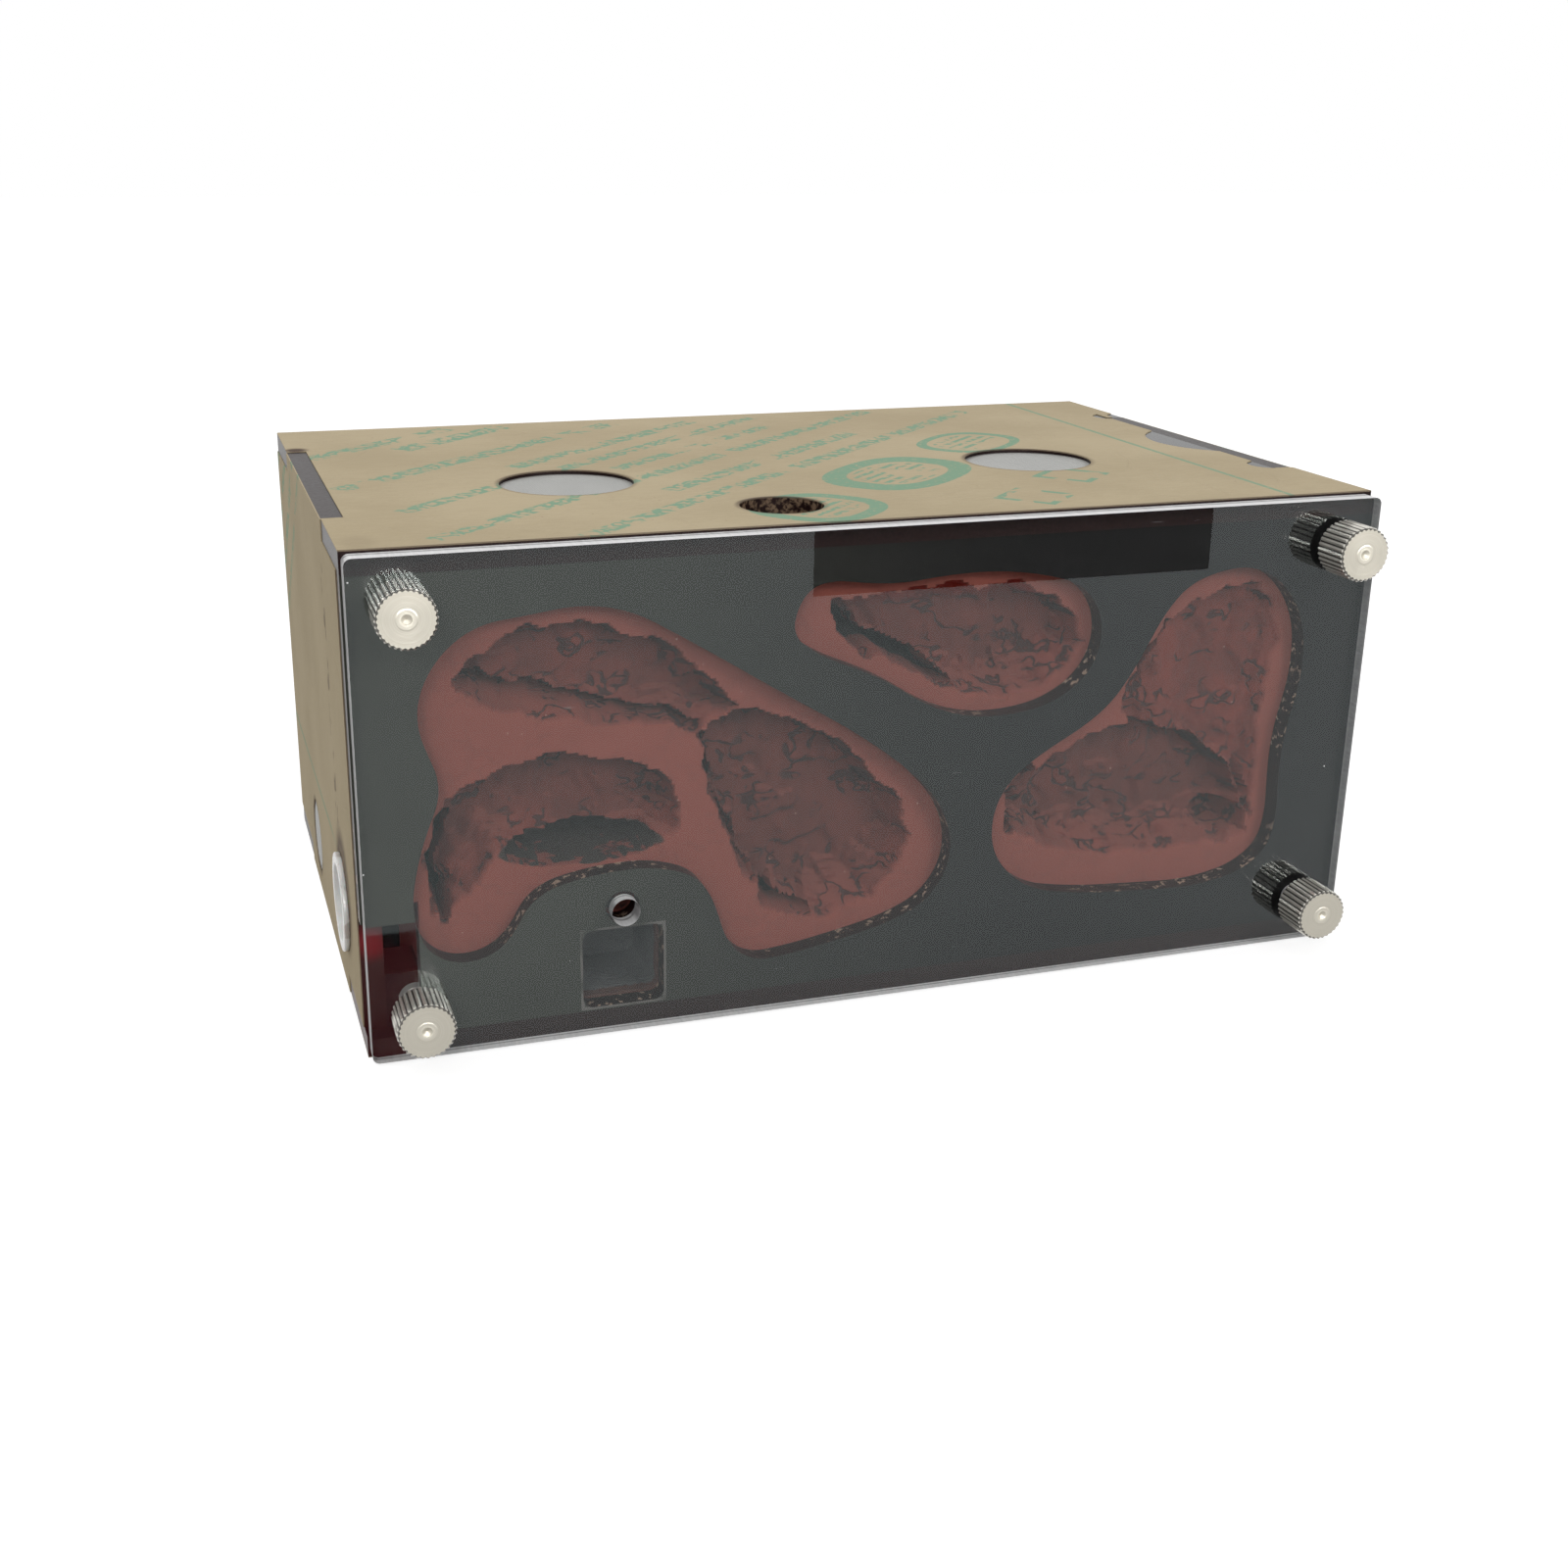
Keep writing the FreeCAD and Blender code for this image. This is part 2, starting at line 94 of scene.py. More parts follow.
# What is carved into the face of the plaster, as (x, height) outlines and how deep each goes
scoops = [
    (5.5, [
        (-61.3, 52.2), (-55.8, 56.2), (-51.3, 58.4), (-41.3, 58.4), (-37.8, 56.2), (-33.8, 55.7),
        (-29.3, 53.2), (-27.8, 49.7), (-21.8, 45.0), (-26.8, 42.4), (-35.8, 43.2), (-45.8, 44.4),
        (-54.8, 46.7), (-60.3, 49.7),
    ]),
    (6.0, [
        (-62.3, 35.2), (-57.8, 37.7), (-51.8, 39.4), (-46.8, 40.4), (-40.8, 39.4), (-35.8, 37.7),
        (-31.8, 34.7), (-30.3, 31.2), (-30.8, 27.2), (-33.8, 25.0), (-41.8, 24.6), (-50.8, 25.7),
        (-55.8, 26.2), (-59.3, 22.7), (-62.3, 19.0), (-65.0, 19.2), (-65.5, 26.2), (-64.3, 32.2),
    ]),
    (6.5, [
        (-25.8, 42.2), (-21.8, 44.4), (-16.8, 43.7), (-10.8, 40.7), (-5.3, 37.2), (-0.8, 32.2),
        (2.7, 27.7), (4.2, 22.7), (2.7, 17.7), (-1.3, 14.0), (-6.8, 12.2), (-11.8, 12.4),
        (-16.8, 15.2), (-19.8, 19.7), (-22.3, 25.2), (-24.3, 31.2), (-27.3, 36.7),
    ]),
    (6.0, [
        (-9.0, 57.2), (-5.8, 59.2), (2.2, 59.5), (10.2, 59.8), (18.2, 59.4), (24.7, 57.5),
        (29.0, 54.0), (30.4, 50.0), (28.4, 46.2), (24.2, 43.7), (18.2, 42.7), (12.2, 44.0),
        (6.2, 46.7), (-0.8, 50.4), (-6.3, 53.7),
    ]),
    (6.5, [
        (25.2, 31.7), (30.7, 35.4), (36.7, 36.9), (44.2, 36.2), (50.2, 34.0), (56.2, 29.2),
        (60.4, 23.2), (61.0, 17.2), (56.2, 15.9), (44.2, 16.2), (34.2, 16.7), (27.2, 18.2),
        (21.7, 21.2), (19.9, 25.0), (21.7, 28.7),
    ]),
    (2.8, [
        (43.2, 50.7), (47.7, 54.7), (53.2, 57.2), (58.7, 57.0), (62.4, 53.2), (63.4, 46.2),
        (61.7, 38.2), (61.7, 29.2), (61.7, 19.2), (57.2, 27.2), (49.2, 32.2), (39.2, 34.7),
        (38.2, 41.2), (40.2, 46.2),
    ]),
]

# Crevices along these lines, each with its half width and how deep it goes
crevices = [
    (0.7, 4.5, [
        (-60.8, 52.0), (-55.8, 50.4), (-49.8, 48.2), (-42.8, 46.7), (-35.8, 45.0), (-27.8, 42.7),
    ]),
    (0.9, 9.0, [(-62.6, 31.2), (-64.4, 27.7), (-64.6, 23.2), (-63.4, 18.9)]),
    (0.8, 5.0, [(-27.0, 41.2), (-25.8, 35.2), (-23.8, 29.2), (-21.8, 24.2), (-19.8, 19.2)]),
    (1.0, 9.0, [(-17.8, 16.2), (-15.5, 14.2), (-11.8, 12.9)]),
    (1.4, 13.0, [(-7.8, 58.0), (-6.8, 55.2), (-3.3, 52.4), (2.2, 50.4), (6.2, 48.0)]),
    (0.7, 8.0, [(6.2, 48.0), (10.0, 45.6)]),
    (0.9, 8.0, [(44.2, 51.7), (41.4, 48.0), (39.4, 44.0), (38.5, 40.0)]),
    (1.0, 8.0, [(22.7, 30.7), (20.7, 28.2), (19.9, 25.0), (20.6, 22.0)]),
]

# Dark mouths of the tunnels that lead back, as (x, height, half width, half height, depth)
tunnel_mouths = [(-44.3, 26.5, 10.6, 2.2, 13.0), (57.0, 19.8, 3.4, 2.2, 4.0)]

# The walls of a hollow are gentle at its lower right and steep elsewhere
lean_right, lean_down = 0.6, 0.8
steep_wall, gentle_wall = 1.0, 6.0
ledge_height, ledge_share = 1.1, 0.85
deepest_cut = 18.0
nest_columns, nest_rows = 342, 151
smooth_angle = math.radians(40)


def smooth_step(value):
    """A soft step from 0 to 1."""
    value = min(1.0, max(0.0, value))
    return value * value * (3.0 - 2.0 * value)


def offset_to_line(x, z, start, end):
    """The way from a place to the nearest point of a straight line."""
    run_x, run_z = end[0] - start[0], end[1] - start[1]
    share = ((x - start[0]) * run_x + (z - start[1]) * run_z) / (run_x * run_x + run_z * run_z)
    share = min(1.0, max(0.0, share))
    return start[0] + run_x * share - x, start[1] + run_z * share - z


def reach_inside(x, z, outline):
    """How far a place lies inside an outline, and how far down and right its nearest edge is."""
    nearest, lean, inside = math.inf, 0.0, False
    for start, end in zip(outline, outline[1:] + outline[:1]):
        if (start[1] > z) != (end[1] > z):
            crossing = start[0] + (end[0] - start[0]) * (z - start[1]) / (end[1] - start[1])
            inside = inside != (x < crossing)
        across, up = offset_to_line(x, z, start, end)
        distance = math.hypot(across, up)
        if distance < nearest:
            nearest = distance
            lean = (across * lean_right - up * lean_down) / max(distance, 0.001)
    return (nearest if inside else -nearest), lean


def ledges(depth):
    """Depth broken into worn ledges, as plaster shells off under a knife."""
    level = depth / ledge_height
    step = math.floor(level)
    worn = ledge_height * (step + smooth_step(smooth_step(smooth_step(level - step))))
    return ledge_share * worn + (1.0 - ledge_share) * depth


def carved_depth(x, z):
    """How deep the plaster is carved at a place on its face, in millimetres."""
    place = Vector((x, 0.0, z))
    x += 1.1 * noise.noise(place / 3.4) + 0.35 * noise.noise(place / 1.2)
    z += 1.1 * noise.noise((place + Vector((50.0, 0.0, 0.0))) / 3.4) + 0.35 * noise.noise(place / 1.4)
    depth, share = 0.0, 0.0
    for deepest, outline in scoops:
        inside, lean = reach_inside(x, z, outline)
        if inside > 0.0:
            wall = steep_wall + gentle_wall * max(0.0, lean)
            down_the_wall = min(1.0, inside / wall)
            share = max(share, down_the_wall)
            depth = max(depth, deepest * (1.0 - (1.0 - down_the_wall) ** 1.6))
    if depth > 0.0:
        lumps = 1.5 * noise.noise(place / 8.0) + 0.8 * noise.noise(place / 3.0)
        grain = 0.25 * noise.noise(place / 1.3)
        depth = ledges(max(0.3, depth + share * lumps)) + grain * share
    for half_width, deepest, line in crevices:
        for start, end in zip(line, line[1:]):
            gap = math.hypot(*offset_to_line(x, z, start, end))
            if gap < half_width:
                cleft = deepest * smooth_step(1.6 * (1.0 - gap / half_width))
                depth = max(depth, cleft + min(depth, 4.0))
    for middle_x, middle_z, half_width, half_height, deepest in tunnel_mouths:
        spread = ((place.x - middle_x) / half_width) ** 2 + ((place.z - middle_z) / half_height) ** 2
        if spread < 1.0:
            depth += deepest * smooth_step(8.0 * (1.0 - spread))
    return min(depth, deepest_cut)


def pick_faces(piece, chosen):
    """Select just the faces whose middle (in millimetres) and normal pass a test, ready to edit."""
    bpy.ops.object.mode_set(mode="EDIT")
    bpy.ops.mesh.select_mode(type="FACE")
    bpy.ops.mesh.select_all(action="DESELECT")
    bpy.ops.object.mode_set(mode="OBJECT")
    for face in piece.data.polygons:
        face.select = chosen(face.center * 1000, face.normal)
    bpy.ops.object.mode_set(mode="EDIT")


def settle(piece):
    """Carry the piece's place, turn and scale into its mesh."""
    bpy.ops.object.transform_apply(location=True, rotation=True, scale=True)
    return piece


def new_box(low, high):
    """A box between two corners in millimetres, as the active object."""
    low, high = Vector(low) / 1000, Vector(high) / 1000
    bpy.ops.object.select_all(action="DESELECT")
    bpy.ops.mesh.primitive_cube_add(size=1.0, location=(low + high) / 2)
    bpy.context.object.scale = high - low
    return settle(bpy.context.object)


def new_rod(radius, start, end):
    """A round bar between two points in millimetres, as the active object."""
    start, end = Vector(start) / 1000, Vector(end) / 1000
    turn = (end - start).to_track_quat("Z", "Y").to_euler()
    bpy.ops.object.select_all(action="DESELECT")
    bpy.ops.mesh.primitive_cylinder_add(vertices=64, radius=radius / 1000, depth=(end - start).length,
                                        location=(start + end) / 2, rotation=turn)
    return settle(bpy.context.object)


def cut_away(piece, cutter):
    """Take the cutter's space out of the piece."""
    bpy.ops.object.select_all(action="DESELECT")
    bpy.context.view_layer.objects.active = piece
    piece.select_set(True)
    bpy.ops.object.modifier_add(type="BOOLEAN")
    modifier = piece.modifiers[-1]
    modifier.operation = "DIFFERENCE"
    modifier.solver = "MANIFOLD"
    modifier.object = cutter
    bpy.ops.object.modifier_apply(modifier=modifier.name)
    bpy.data.objects.remove(cutter)


def plaster_slab():
    """The block of plaster before it is hollowed, with a finely divided face that is carved."""
    width, height = nest_high.x - nest_low.x, nest_high.z - nest_low.z
    middle = Vector(((nest_low.x + nest_high.x) / 2, nest_low.y, (nest_low.z + nest_high.z) / 2))
    bpy.ops.object.select_all(action="DESELECT")
    bpy.ops.mesh.primitive_grid_add(x_subdivisions=nest_columns, y_subdivisions=nest_rows, size=1.0,
                                    location=middle / 1000, rotation=(math.pi / 2, 0, 0))
    slab = bpy.context.object
    slab.scale = (width / 1000, height / 1000, 1.0)
    settle(slab)
    bpy.ops.object.mode_set(mode="EDIT")
    bpy.ops.mesh.select_all(action="SELECT")
    bpy.ops.mesh.region_to_loop()
    thickness = (nest_high.y - nest_low.y) / 1000
    bpy.ops.mesh.extrude_edges_move(TRANSFORM_OT_translate={"value": (0, thickness, 0)})
    bpy.ops.mesh.edge_face_add()
    bpy.ops.mesh.select_all(action="SELECT")
    bpy.ops.mesh.normals_make_consistent(inside=False)
    bpy.ops.object.mode_set(mode="OBJECT")
    face_y = nest_low.y / 1000
    for point in slab.data.vertices:
        if abs(point.co.y - face_y) < 0.00001:
            point.co.y += carved_depth(point.co.x * 1000, point.co.z * 1000) / 1000
    return slab


def square_pocket_cutter():
    """The pocket behind the square window, with its long edges rounded."""
    low = (pocket_left, nest_low.y - 1, pocket_bottom)
    high = (pocket_right, nest_low.y + pocket_depth, pocket_top)
    cutter = new_box(low, high)
    bpy.ops.object.mode_set(mode="EDIT")
    bpy.ops.mesh.select_mode(type="EDGE")
    bpy.ops.mesh.select_all(action="DESELECT")
    bpy.ops.object.mode_set(mode="OBJECT")
    points = cutter.data.vertices
    for edge in cutter.data.edges:
        start, end = (points[index].co for index in edge.vertices)
        edge.select = abs(start.y - end.y) > 0.001
    bpy.ops.object.mode_set(mode="EDIT")
    bpy.ops.mesh.bevel(offset=0.0015, segments=6)
    bpy.ops.object.mode_set(mode="OBJECT")
    return cutter


def corner_cutter(side, middle_z):
    """The room that the plaster leaves for one corner post."""
    seat = (post_high.x - post_low.x) / 2 + post_room
    inner = side * (screw_x - seat)
    outer = side * (nest_high.x + 1)
    low_z, high_z = nest_low.z - 1, middle_z + seat
    if middle_z > case_middle_z:
        low_z, high_z = middle_z - seat, nest_high.z + 1
    low = (min(inner, outer), nest_low.y - 1, low_z)
    high = (max(inner, outer), post_high.y + post_room, high_z)
    return new_box(low, high)


def cut_watering_channel(nest):
    """The hole behind the cover's watering hole, which turns down into the square pocket."""
    turn_y = nest_low.y + 2 * watering_radius
    start = (watering_x, nest_low.y - 1, watering_z)
    end = (watering_x, turn_y + watering_radius, watering_z)
    cut_away(nest, new_rod(watering_radius, start, end))
    start = (watering_x, turn_y, pocket_top - 1)
    end = (watering_x, turn_y, watering_z)
    cut_away(nest, new_rod(watering_radius, start, end))


def carved_nest():
    """The cast plaster block with its carved chambers, in place of the plain solid."""
    nest = plaster_slab()
    face, back = nest_low.y, nest_high.y
    corridor_low = (nest_low.x - 1, face - 1, nest_low.z - 1)
    cut_away(nest, new_box(corridor_low, (corridor_right, back + 1, corridor_top)))
    for side in (-1, 1):
        for middle_z in (screw_z_low, screw_z_high):
            cut_away(nest, corner_cutter(side, middle_z))
    cut_away(nest, square_pocket_cutter())
    cut_watering_channel(nest)
    well_bottom = (well_x, well_y, nest_high.z - well_depth)
    cut_away(nest, new_rod(well_radius, well_bottom, (well_x, well_y, nest_high.z + 1)))
    for x, z in passages:
        cut_away(nest, new_rod(passage_radius, (x, face + passage_start, z), (x, back + 1, z)))
    bpy.ops.object.shade_smooth_by_angle(angle=smooth_angle)
    nest.name = "carved_nest"
    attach(nest, "case")
    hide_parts("nest_block")
    return nest


def dished_stopper():
    """The soft stopper of the entrance port: a thin flange with a dished middle."""
    spigot_radius, flange_radius, flange_thickness = 6.2, (port_high.y - port_low.y) / 2, 0.8
    rim_width, dish_depth, dish_taper = 1.6, 2.7, 0.9
    flange_face, paper_face = port_low.x, port_low.x + flange_thickness
    stopper = new_rod(flange_radius, (paper_face, port_y, port_z), (flange_face, port_y, port_z))
    pick_faces(stopper, lambda middle, normal: normal.x < -0.9)
    bpy.ops.mesh.inset(thickness=rim_width / 1000)
    bpy.ops.mesh.extrude_region_move(TRANSFORM_OT_translate={"value": (dish_depth / 1000, 0, 0)})
    bpy.ops.transform.resize(value=(1.0, dish_taper, dish_taper))
    bpy.ops.object.mode_set(mode="OBJECT")
    pick_faces(stopper, lambda middle, normal: normal.x > 0.9)
    bpy.ops.mesh.inset(thickness=(flange_radius - spigot_radius) / 1000)
    spigot = (port_high.x - paper_face) / 1000
    bpy.ops.mesh.extrude_region_move(TRANSFORM_OT_translate={"value": (spigot, 0, 0)})
    bpy.ops.mesh.select_all(action="SELECT")
    bpy.ops.mesh.normals_make_consistent(inside=False)
    bpy.ops.object.mode_set(mode="OBJECT")
    bpy.ops.object.modifier_add(type="BEVEL")
    rounding = stopper.modifiers[-1]
    rounding.width = 0.0002
    rounding.segments = 3
    rounding.limit_method = "ANGLE"
    bpy.ops.object.modifier_apply(modifier=rounding.name)
    bpy.ops.object.shade_smooth_by_angle(angle=smooth_angle)
    stopper.name = "dished_stopper"
    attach(stopper, "plug")
    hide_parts("entrance_plug")
    return stopper


def side_vent_mesh():
    """The mesh of the side vent, set flush with the panel and pressed flat at its rim."""
    stands_out, rim_width, rim_pressed = 0.35, 0.8, 0.1
    outer = (side_low.x - stands_out, side_vent_y, side_vent_z)
    mesh = new_rod(side_vent_radius, (side_high.x, side_vent_y, side_vent_z), outer)
    pick_faces(mesh, lambda middle, normal: normal.x < -0.9)
    bpy.ops.mesh.inset(thickness=rim_width / 1000)
    bpy.ops.mesh.extrude_region_move(TRANSFORM_OT_translate={"value": (-rim_pressed / 1000, 0, 0)})
    bpy.ops.object.mode_set(mode="OBJECT")
    bpy.ops.object.shade_smooth_by_angle(angle=smooth_angle)
    mesh.name = "side_mesh"
    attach(mesh, "case")
    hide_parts("vent_mesh_side")
    return mesh


class Value:
    """One number in a finish. Python arithmetic on it adds the nodes that work it out."""

    def __init__(self, owner, socket):
        self.owner = owner
        self.socket = socket

    def __add__(self, other):
        return self.owner.math("ADD", self, other)

    def __radd__(self, other):
        return self.owner.math("ADD", other, self)

    def __sub__(self, other):
        return self.owner.math("SUBTRACT", self, other)

    def __rsub__(self, other):
        return self.owner.math("SUBTRACT", other, self)

    def __mul__(self, other):
        return self.owner.math("MULTIPLY", self, other)

    def __rmul__(self, other):
        return self.owner.math("MULTIPLY", other, self)

    def __truediv__(self, other):
        return self.owner.math("DIVIDE", self, other)

    def __pow__(self, other):
        return self.owner.math("POWER", self, other)

    def __abs__(self):
        return self.owner.math("ABSOLUTE", self)


class NodeWork:
    """A tree of nodes that is written as Python expressions."""

    def __init__(self, tree):
        self.nodes = tree.nodes
        self.links = tree.links
        self.nodes.clear()

    def node(self, kind, settings=None, sockets=None):
        """Add one node: its settings first, then the values or links of its sockets."""
        made = self.nodes.new(kind)
        for name, setting in (settings or {}).items():
            setattr(made, name, setting)
        for name, value in (sockets or {}).items():
            self.feed(made.inputs[name], value)
        return made

    def feed(self, socket, value):
        """Link a value to a socket, or set a constant straight on it."""
        if isinstance(value, Value):
            value = value.socket
        if isinstance(value, bpy.types.NodeSocket):
            self.links.new(value, socket)
        else:
            socket.default_value = value

    def math(self, operation, first, second=0.0):
        """The outcome of one step of arithmetic."""
        made = self.node("ShaderNodeMath", {"operation": operation}, {0: first, 1: second})
        return Value(self, made.outputs[0])

    def least(self, first, second):
        return self.math("MINIMUM", first, second)

    def most(self, first, second):
        return self.math("MAXIMUM", first, second)

    def seen_directly(self):
        """1 for rays that show the backdrop: the camera's, and those off gloss and through glass."""
        rays = self.node("ShaderNodeLightPath").outputs
        seen = self.most(rays["Is Camera Ray"], rays["Is Glossy Ray"])
        return self.most(seen, rays["Is Transmission Ray"])


class Finish(NodeWork):
    """A material made of nodes, measured in millimetres of the object's own space."""

    def __init__(self, name):
        self.material = bpy.data.materials.new(name)
        self.material.use_nodes = True
        super().__init__(self.material.node_tree)
        self.source = self.node("ShaderNodeTexCoord").outputs
        scaled = self.node("ShaderNodeVectorMath", {"operation": "SCALE"},
                           {0: self.source["Object"], "Scale": 1000.0})
        self.place = scaled.outputs[0]
        self.x, self.y, self.z = self.parts(self.place)

    def parts(self, vector):
        """The three numbers of a vector."""
        made = self.node("ShaderNodeSeparateXYZ", None, {"Vector": vector})
        return [Value(self, part) for part in made.outputs]

    def facing(self):
        """The parts of the surface's own normal."""
        return self.parts(self.source["Normal"])

    def point(self, x, y, z):
        """A place put together from three numbers."""
        return self.node("ShaderNodeCombineXYZ", None, {"X": x, "Y": y, "Z": z}).outputs[0]

    def smooth(self, value, low, high):
        """0 below low and 1 above high, with a soft step between."""
        made = self.node("ShaderNodeMapRange", {"interpolation_type": "SMOOTHSTEP"},
                         {"Value": value, "From Min": low, "From Max": high})
        return Value(self, made.outputs["Result"])

    def within(self, value, low, high, blur):
        """1 between low and high, fading out over the blur."""
        return self.smooth(value, low - blur, low) * (1.0 - self.smooth(value, high, high + blur))

    def radius(self, across, up, middle_across, middle_up):
        """The distance from a middle, in the plane of two of the axes."""
        offset = self.point(across - middle_across, up - middle_up, 0.0)
        made = self.node("ShaderNodeVectorMath", {"operation": "LENGTH"}, {0: offset})
        return Value(self, made.outputs["Value"])

    def noise(self, size, detail=2.0, roughness=0.5, place=None):
        """Cloudy noise from 0 to 1 whose clouds are about this many millimetres."""
        made = self.node("ShaderNodeTexNoise", {"noise_dimensions": "3D"},
                         {"Vector": place or self.place, "Scale": 1.0 / size,
                          "Detail": detail, "Roughness": roughness})
        return Value(self, made.outputs["Fac"])

    def contour(self, cloud, level, half_width):
        """1 on the thin lines where cloudy noise crosses a level."""
        return 1.0 - self.smooth(abs(cloud - level), half_width * 0.4, half_width)

    def specks(self, spacing, size, share):
        """Small round dots, one in some of the cells of this spacing."""
        cells = self.node("ShaderNodeTexVoronoi", {"feature": "F1"},
                          {"Vector": self.place, "Scale": 1.0 / spacing})
        near = 1.0 - self.smooth(Value(self, cells.outputs["Distance"]), size * 0.6, size)
        red = self.node("ShaderNodeSeparateColor", None, {0: cells.outputs["Color"]}).outputs[0]
        return near * self.smooth(Value(self, red), 1.0 - share, 1.001 - share)

    def sine(self, value, pitch):
        """A wave from 0 to 1 that repeats at this pitch."""
        return self.math("SINE", value * (2.0 * math.pi / pitch)) * 0.5 + 0.5

    def blend(self, factor, first, second):
        """A colour between two others."""
        made = self.node("ShaderNodeMix", {"data_type": "RGBA"}, {0: factor, 6: first, 7: second})
        return made.outputs[2]

    def bump(self, height, distance):
        """A surface normal from a height that is worth this many millimetres."""
        sockets = {"Height": height, "Distance": distance / 1000}
        return self.node("ShaderNodeBump", None, sockets).outputs["Normal"]

    def principled(self, **sockets):
        """A surface whose sockets are named with _ for a space."""
        named = {name.replace("_", " "): value for name, value in sockets.items()}
        return self.node("ShaderNodeBsdfPrincipled", None, named).outputs[0]

    def mix(self, factor, first, second):
        """A surface between two others."""
        return self.node("ShaderNodeMixShader", None, {0: factor, 1: first, 2: second}).outputs[0]

    def finish(self, surface):
        """Close the material with its surface."""
        self.node("ShaderNodeOutputMaterial", None, {"Surface": surface})
        return self.material


def grey(level):
    return (level, level, level, 1.0)


kraft_light = (0.420, 0.345, 0.222, 1)
kraft_dark = (0.358, 0.290, 0.180, 1)
print_green = (0.150, 0.285, 0.190, 1)
burnt_brown = (0.055, 0.030, 0.018, 1)
acrylic_ior = 1.49
thread_pitch, wire_spacing = 0.5, 0.7

# Rows of print on the top paper, as (offset across, start, end, height) along their slant
slant = math.radians(43.5)
print_rows = [
    (64.0, -38.6, -4.0, 4.2), (57.2, -24.3, 3.3, 5.0), (43.2, -55.8, 16.4, 4.2),
    (32.4, -27.9, 26.0, 3.6), (25.4, -63.8, 36.7, 3.4), (18.3, -20.4, 27.7, 3.2),
    (10.9, -75.4, 53.3, 3.4), (2.3, -31.3, 28.8, 3.6), (-4.6, -63.7, 63.0, 3.4),
]

# Plain stamps on the top paper, as (x, y, half length, half width, border)
print_stamps = [
    (13.0, -15.7, 14.5, 9.5, 0.30), (35.5, 7.8, 10.5, 7.5, 0.20), (-8.0, -37.6, 9.5, 9.0, 0.26),
]
stamp_squareness = 2.6
print_marks = [(38.0, -24.2), (25.0, -38.2)]
stroke_size = 1.7


def squiggles(skin, size):
    """Loops and strokes too small and blurred to be letters."""
    loops = skin.contour(skin.noise(size, 1.0), 0.5, 0.13)
    gaps = skin.smooth(skin.noise(size * 3.4, 0.0), 0.33, 0.37)
    return loops * gaps


def along_the_rows(x, y):
    """A place of the top paper as (along, across) the slanting rows of print."""
    along = x * math.cos(slant) + y * math.sin(slant)
    across = y * math.cos(slant) - x * math.sin(slant)
    return along, across


def stamp_ink(skin, stamp):
    """One plain stamp: a thick ring with hatching inside."""
    x, y, half_length, half_width, border = stamp
    along, across = along_the_rows(skin.x, skin.y)
    middle_along, middle_across = along_the_rows(x, y)
    reach = abs((along - middle_along) / half_length) ** stamp_squareness
    reach = reach + abs((across - middle_across) / half_width) ** stamp_squareness
    ring = skin.within(reach, 1.0 - 2.0 * border, 1.0, 0.05)
    inside = 1.0 - skin.smooth(reach, 0.55 - border, 0.6 - border)
    hatch = skin.smooth(skin.sine(across, 1.9), 0.45, 0.6) * squiggles(skin, 2.2)
    return skin.most(ring, inside * hatch)


def mark_ink(skin, mark):
    """One small square mark of broken lines."""
    along, across = along_the_rows(skin.x, skin.y)
    middle_along, middle_across = along_the_rows(*mark)
    reach = skin.most(abs(along - middle_along), abs(across - middle_across))
    return skin.within(reach, 3.6, 4.6, 0.15) * skin.smooth(skin.noise(3.0, 0.0), 0.38, 0.42)


def top_print(skin):
    """How much green ink lies on each place of the top paper."""
    along, across = along_the_rows(skin.x, skin.y)
    rows = 0.0
    for middle, start, end, height in print_rows:
        band = 1.0 - skin.smooth(abs(across - middle), height * 0.36, height * 0.5)
        rows = skin.most(rows, band * skin.within(along, start, end, 0.8))
    ink = rows * squiggles(skin, stroke_size)
    for stamp in print_stamps:
        ink = skin.most(ink, stamp_ink(skin, stamp))
    for mark in print_marks:
        ink = skin.most(ink, mark_ink(skin, mark))
    stripe = skin.within(skin.x, 61.2, 61.9, 0.15)
    return skin.most(ink * 0.9, stripe * 0.75)


def top_burns(skin):
    """Brown scorching round the holes of the top, most at their far rim."""
    burn = 0.0
    vents = [(-vent_x, vent_y, vent_radius), (vent_x, vent_y, vent_radius)]
    holes = vents + [(well_x, well_y, hydration_radius)]
    for x, y, radius in holes:
        rim = 1.0 - skin.smooth(skin.radius(skin.x, skin.y, x, y), radius + 0.15, radius + 0.9)
        burn = skin.most(burn, rim * (0.35 + 0.5 * skin.smooth(skin.y, y - 2.0, y + radius)))
    corner = 1.0 - skin.smooth(skin.radius(skin.x, skin.y, -73.5, 28.5), 0.8, 2.6)
    front = 1.0 - skin.smooth(skin.y, plate_front + 0.15, plate_front + 0.55)
    smudge = 1.0 - skin.smooth(skin.radius(skin.x, skin.y * 0.6, -72.0, -26.0), 1.0, 3.5)
    return skin.most(skin.most(burn, corner), skin.most(front * 0.7, smudge * 0.12))


def left_print(skin):
    """A green stripe along the left side, and the ends of a few rows at its back corner."""
    stripe = skin.within(skin.z, 20.3, 20.9, 0.25) * skin.smooth(skin.y, -24.0, -8.0)
    rise = skin.z + skin.y * 0.75
    rows = skin.smooth(skin.sine(rise, 9.0), 0.68, 0.8) * skin.smooth(rise, 72.0, 76.0)
    return skin.most(stripe * 0.6, rows * squiggles(skin, stroke_size) * 0.8)


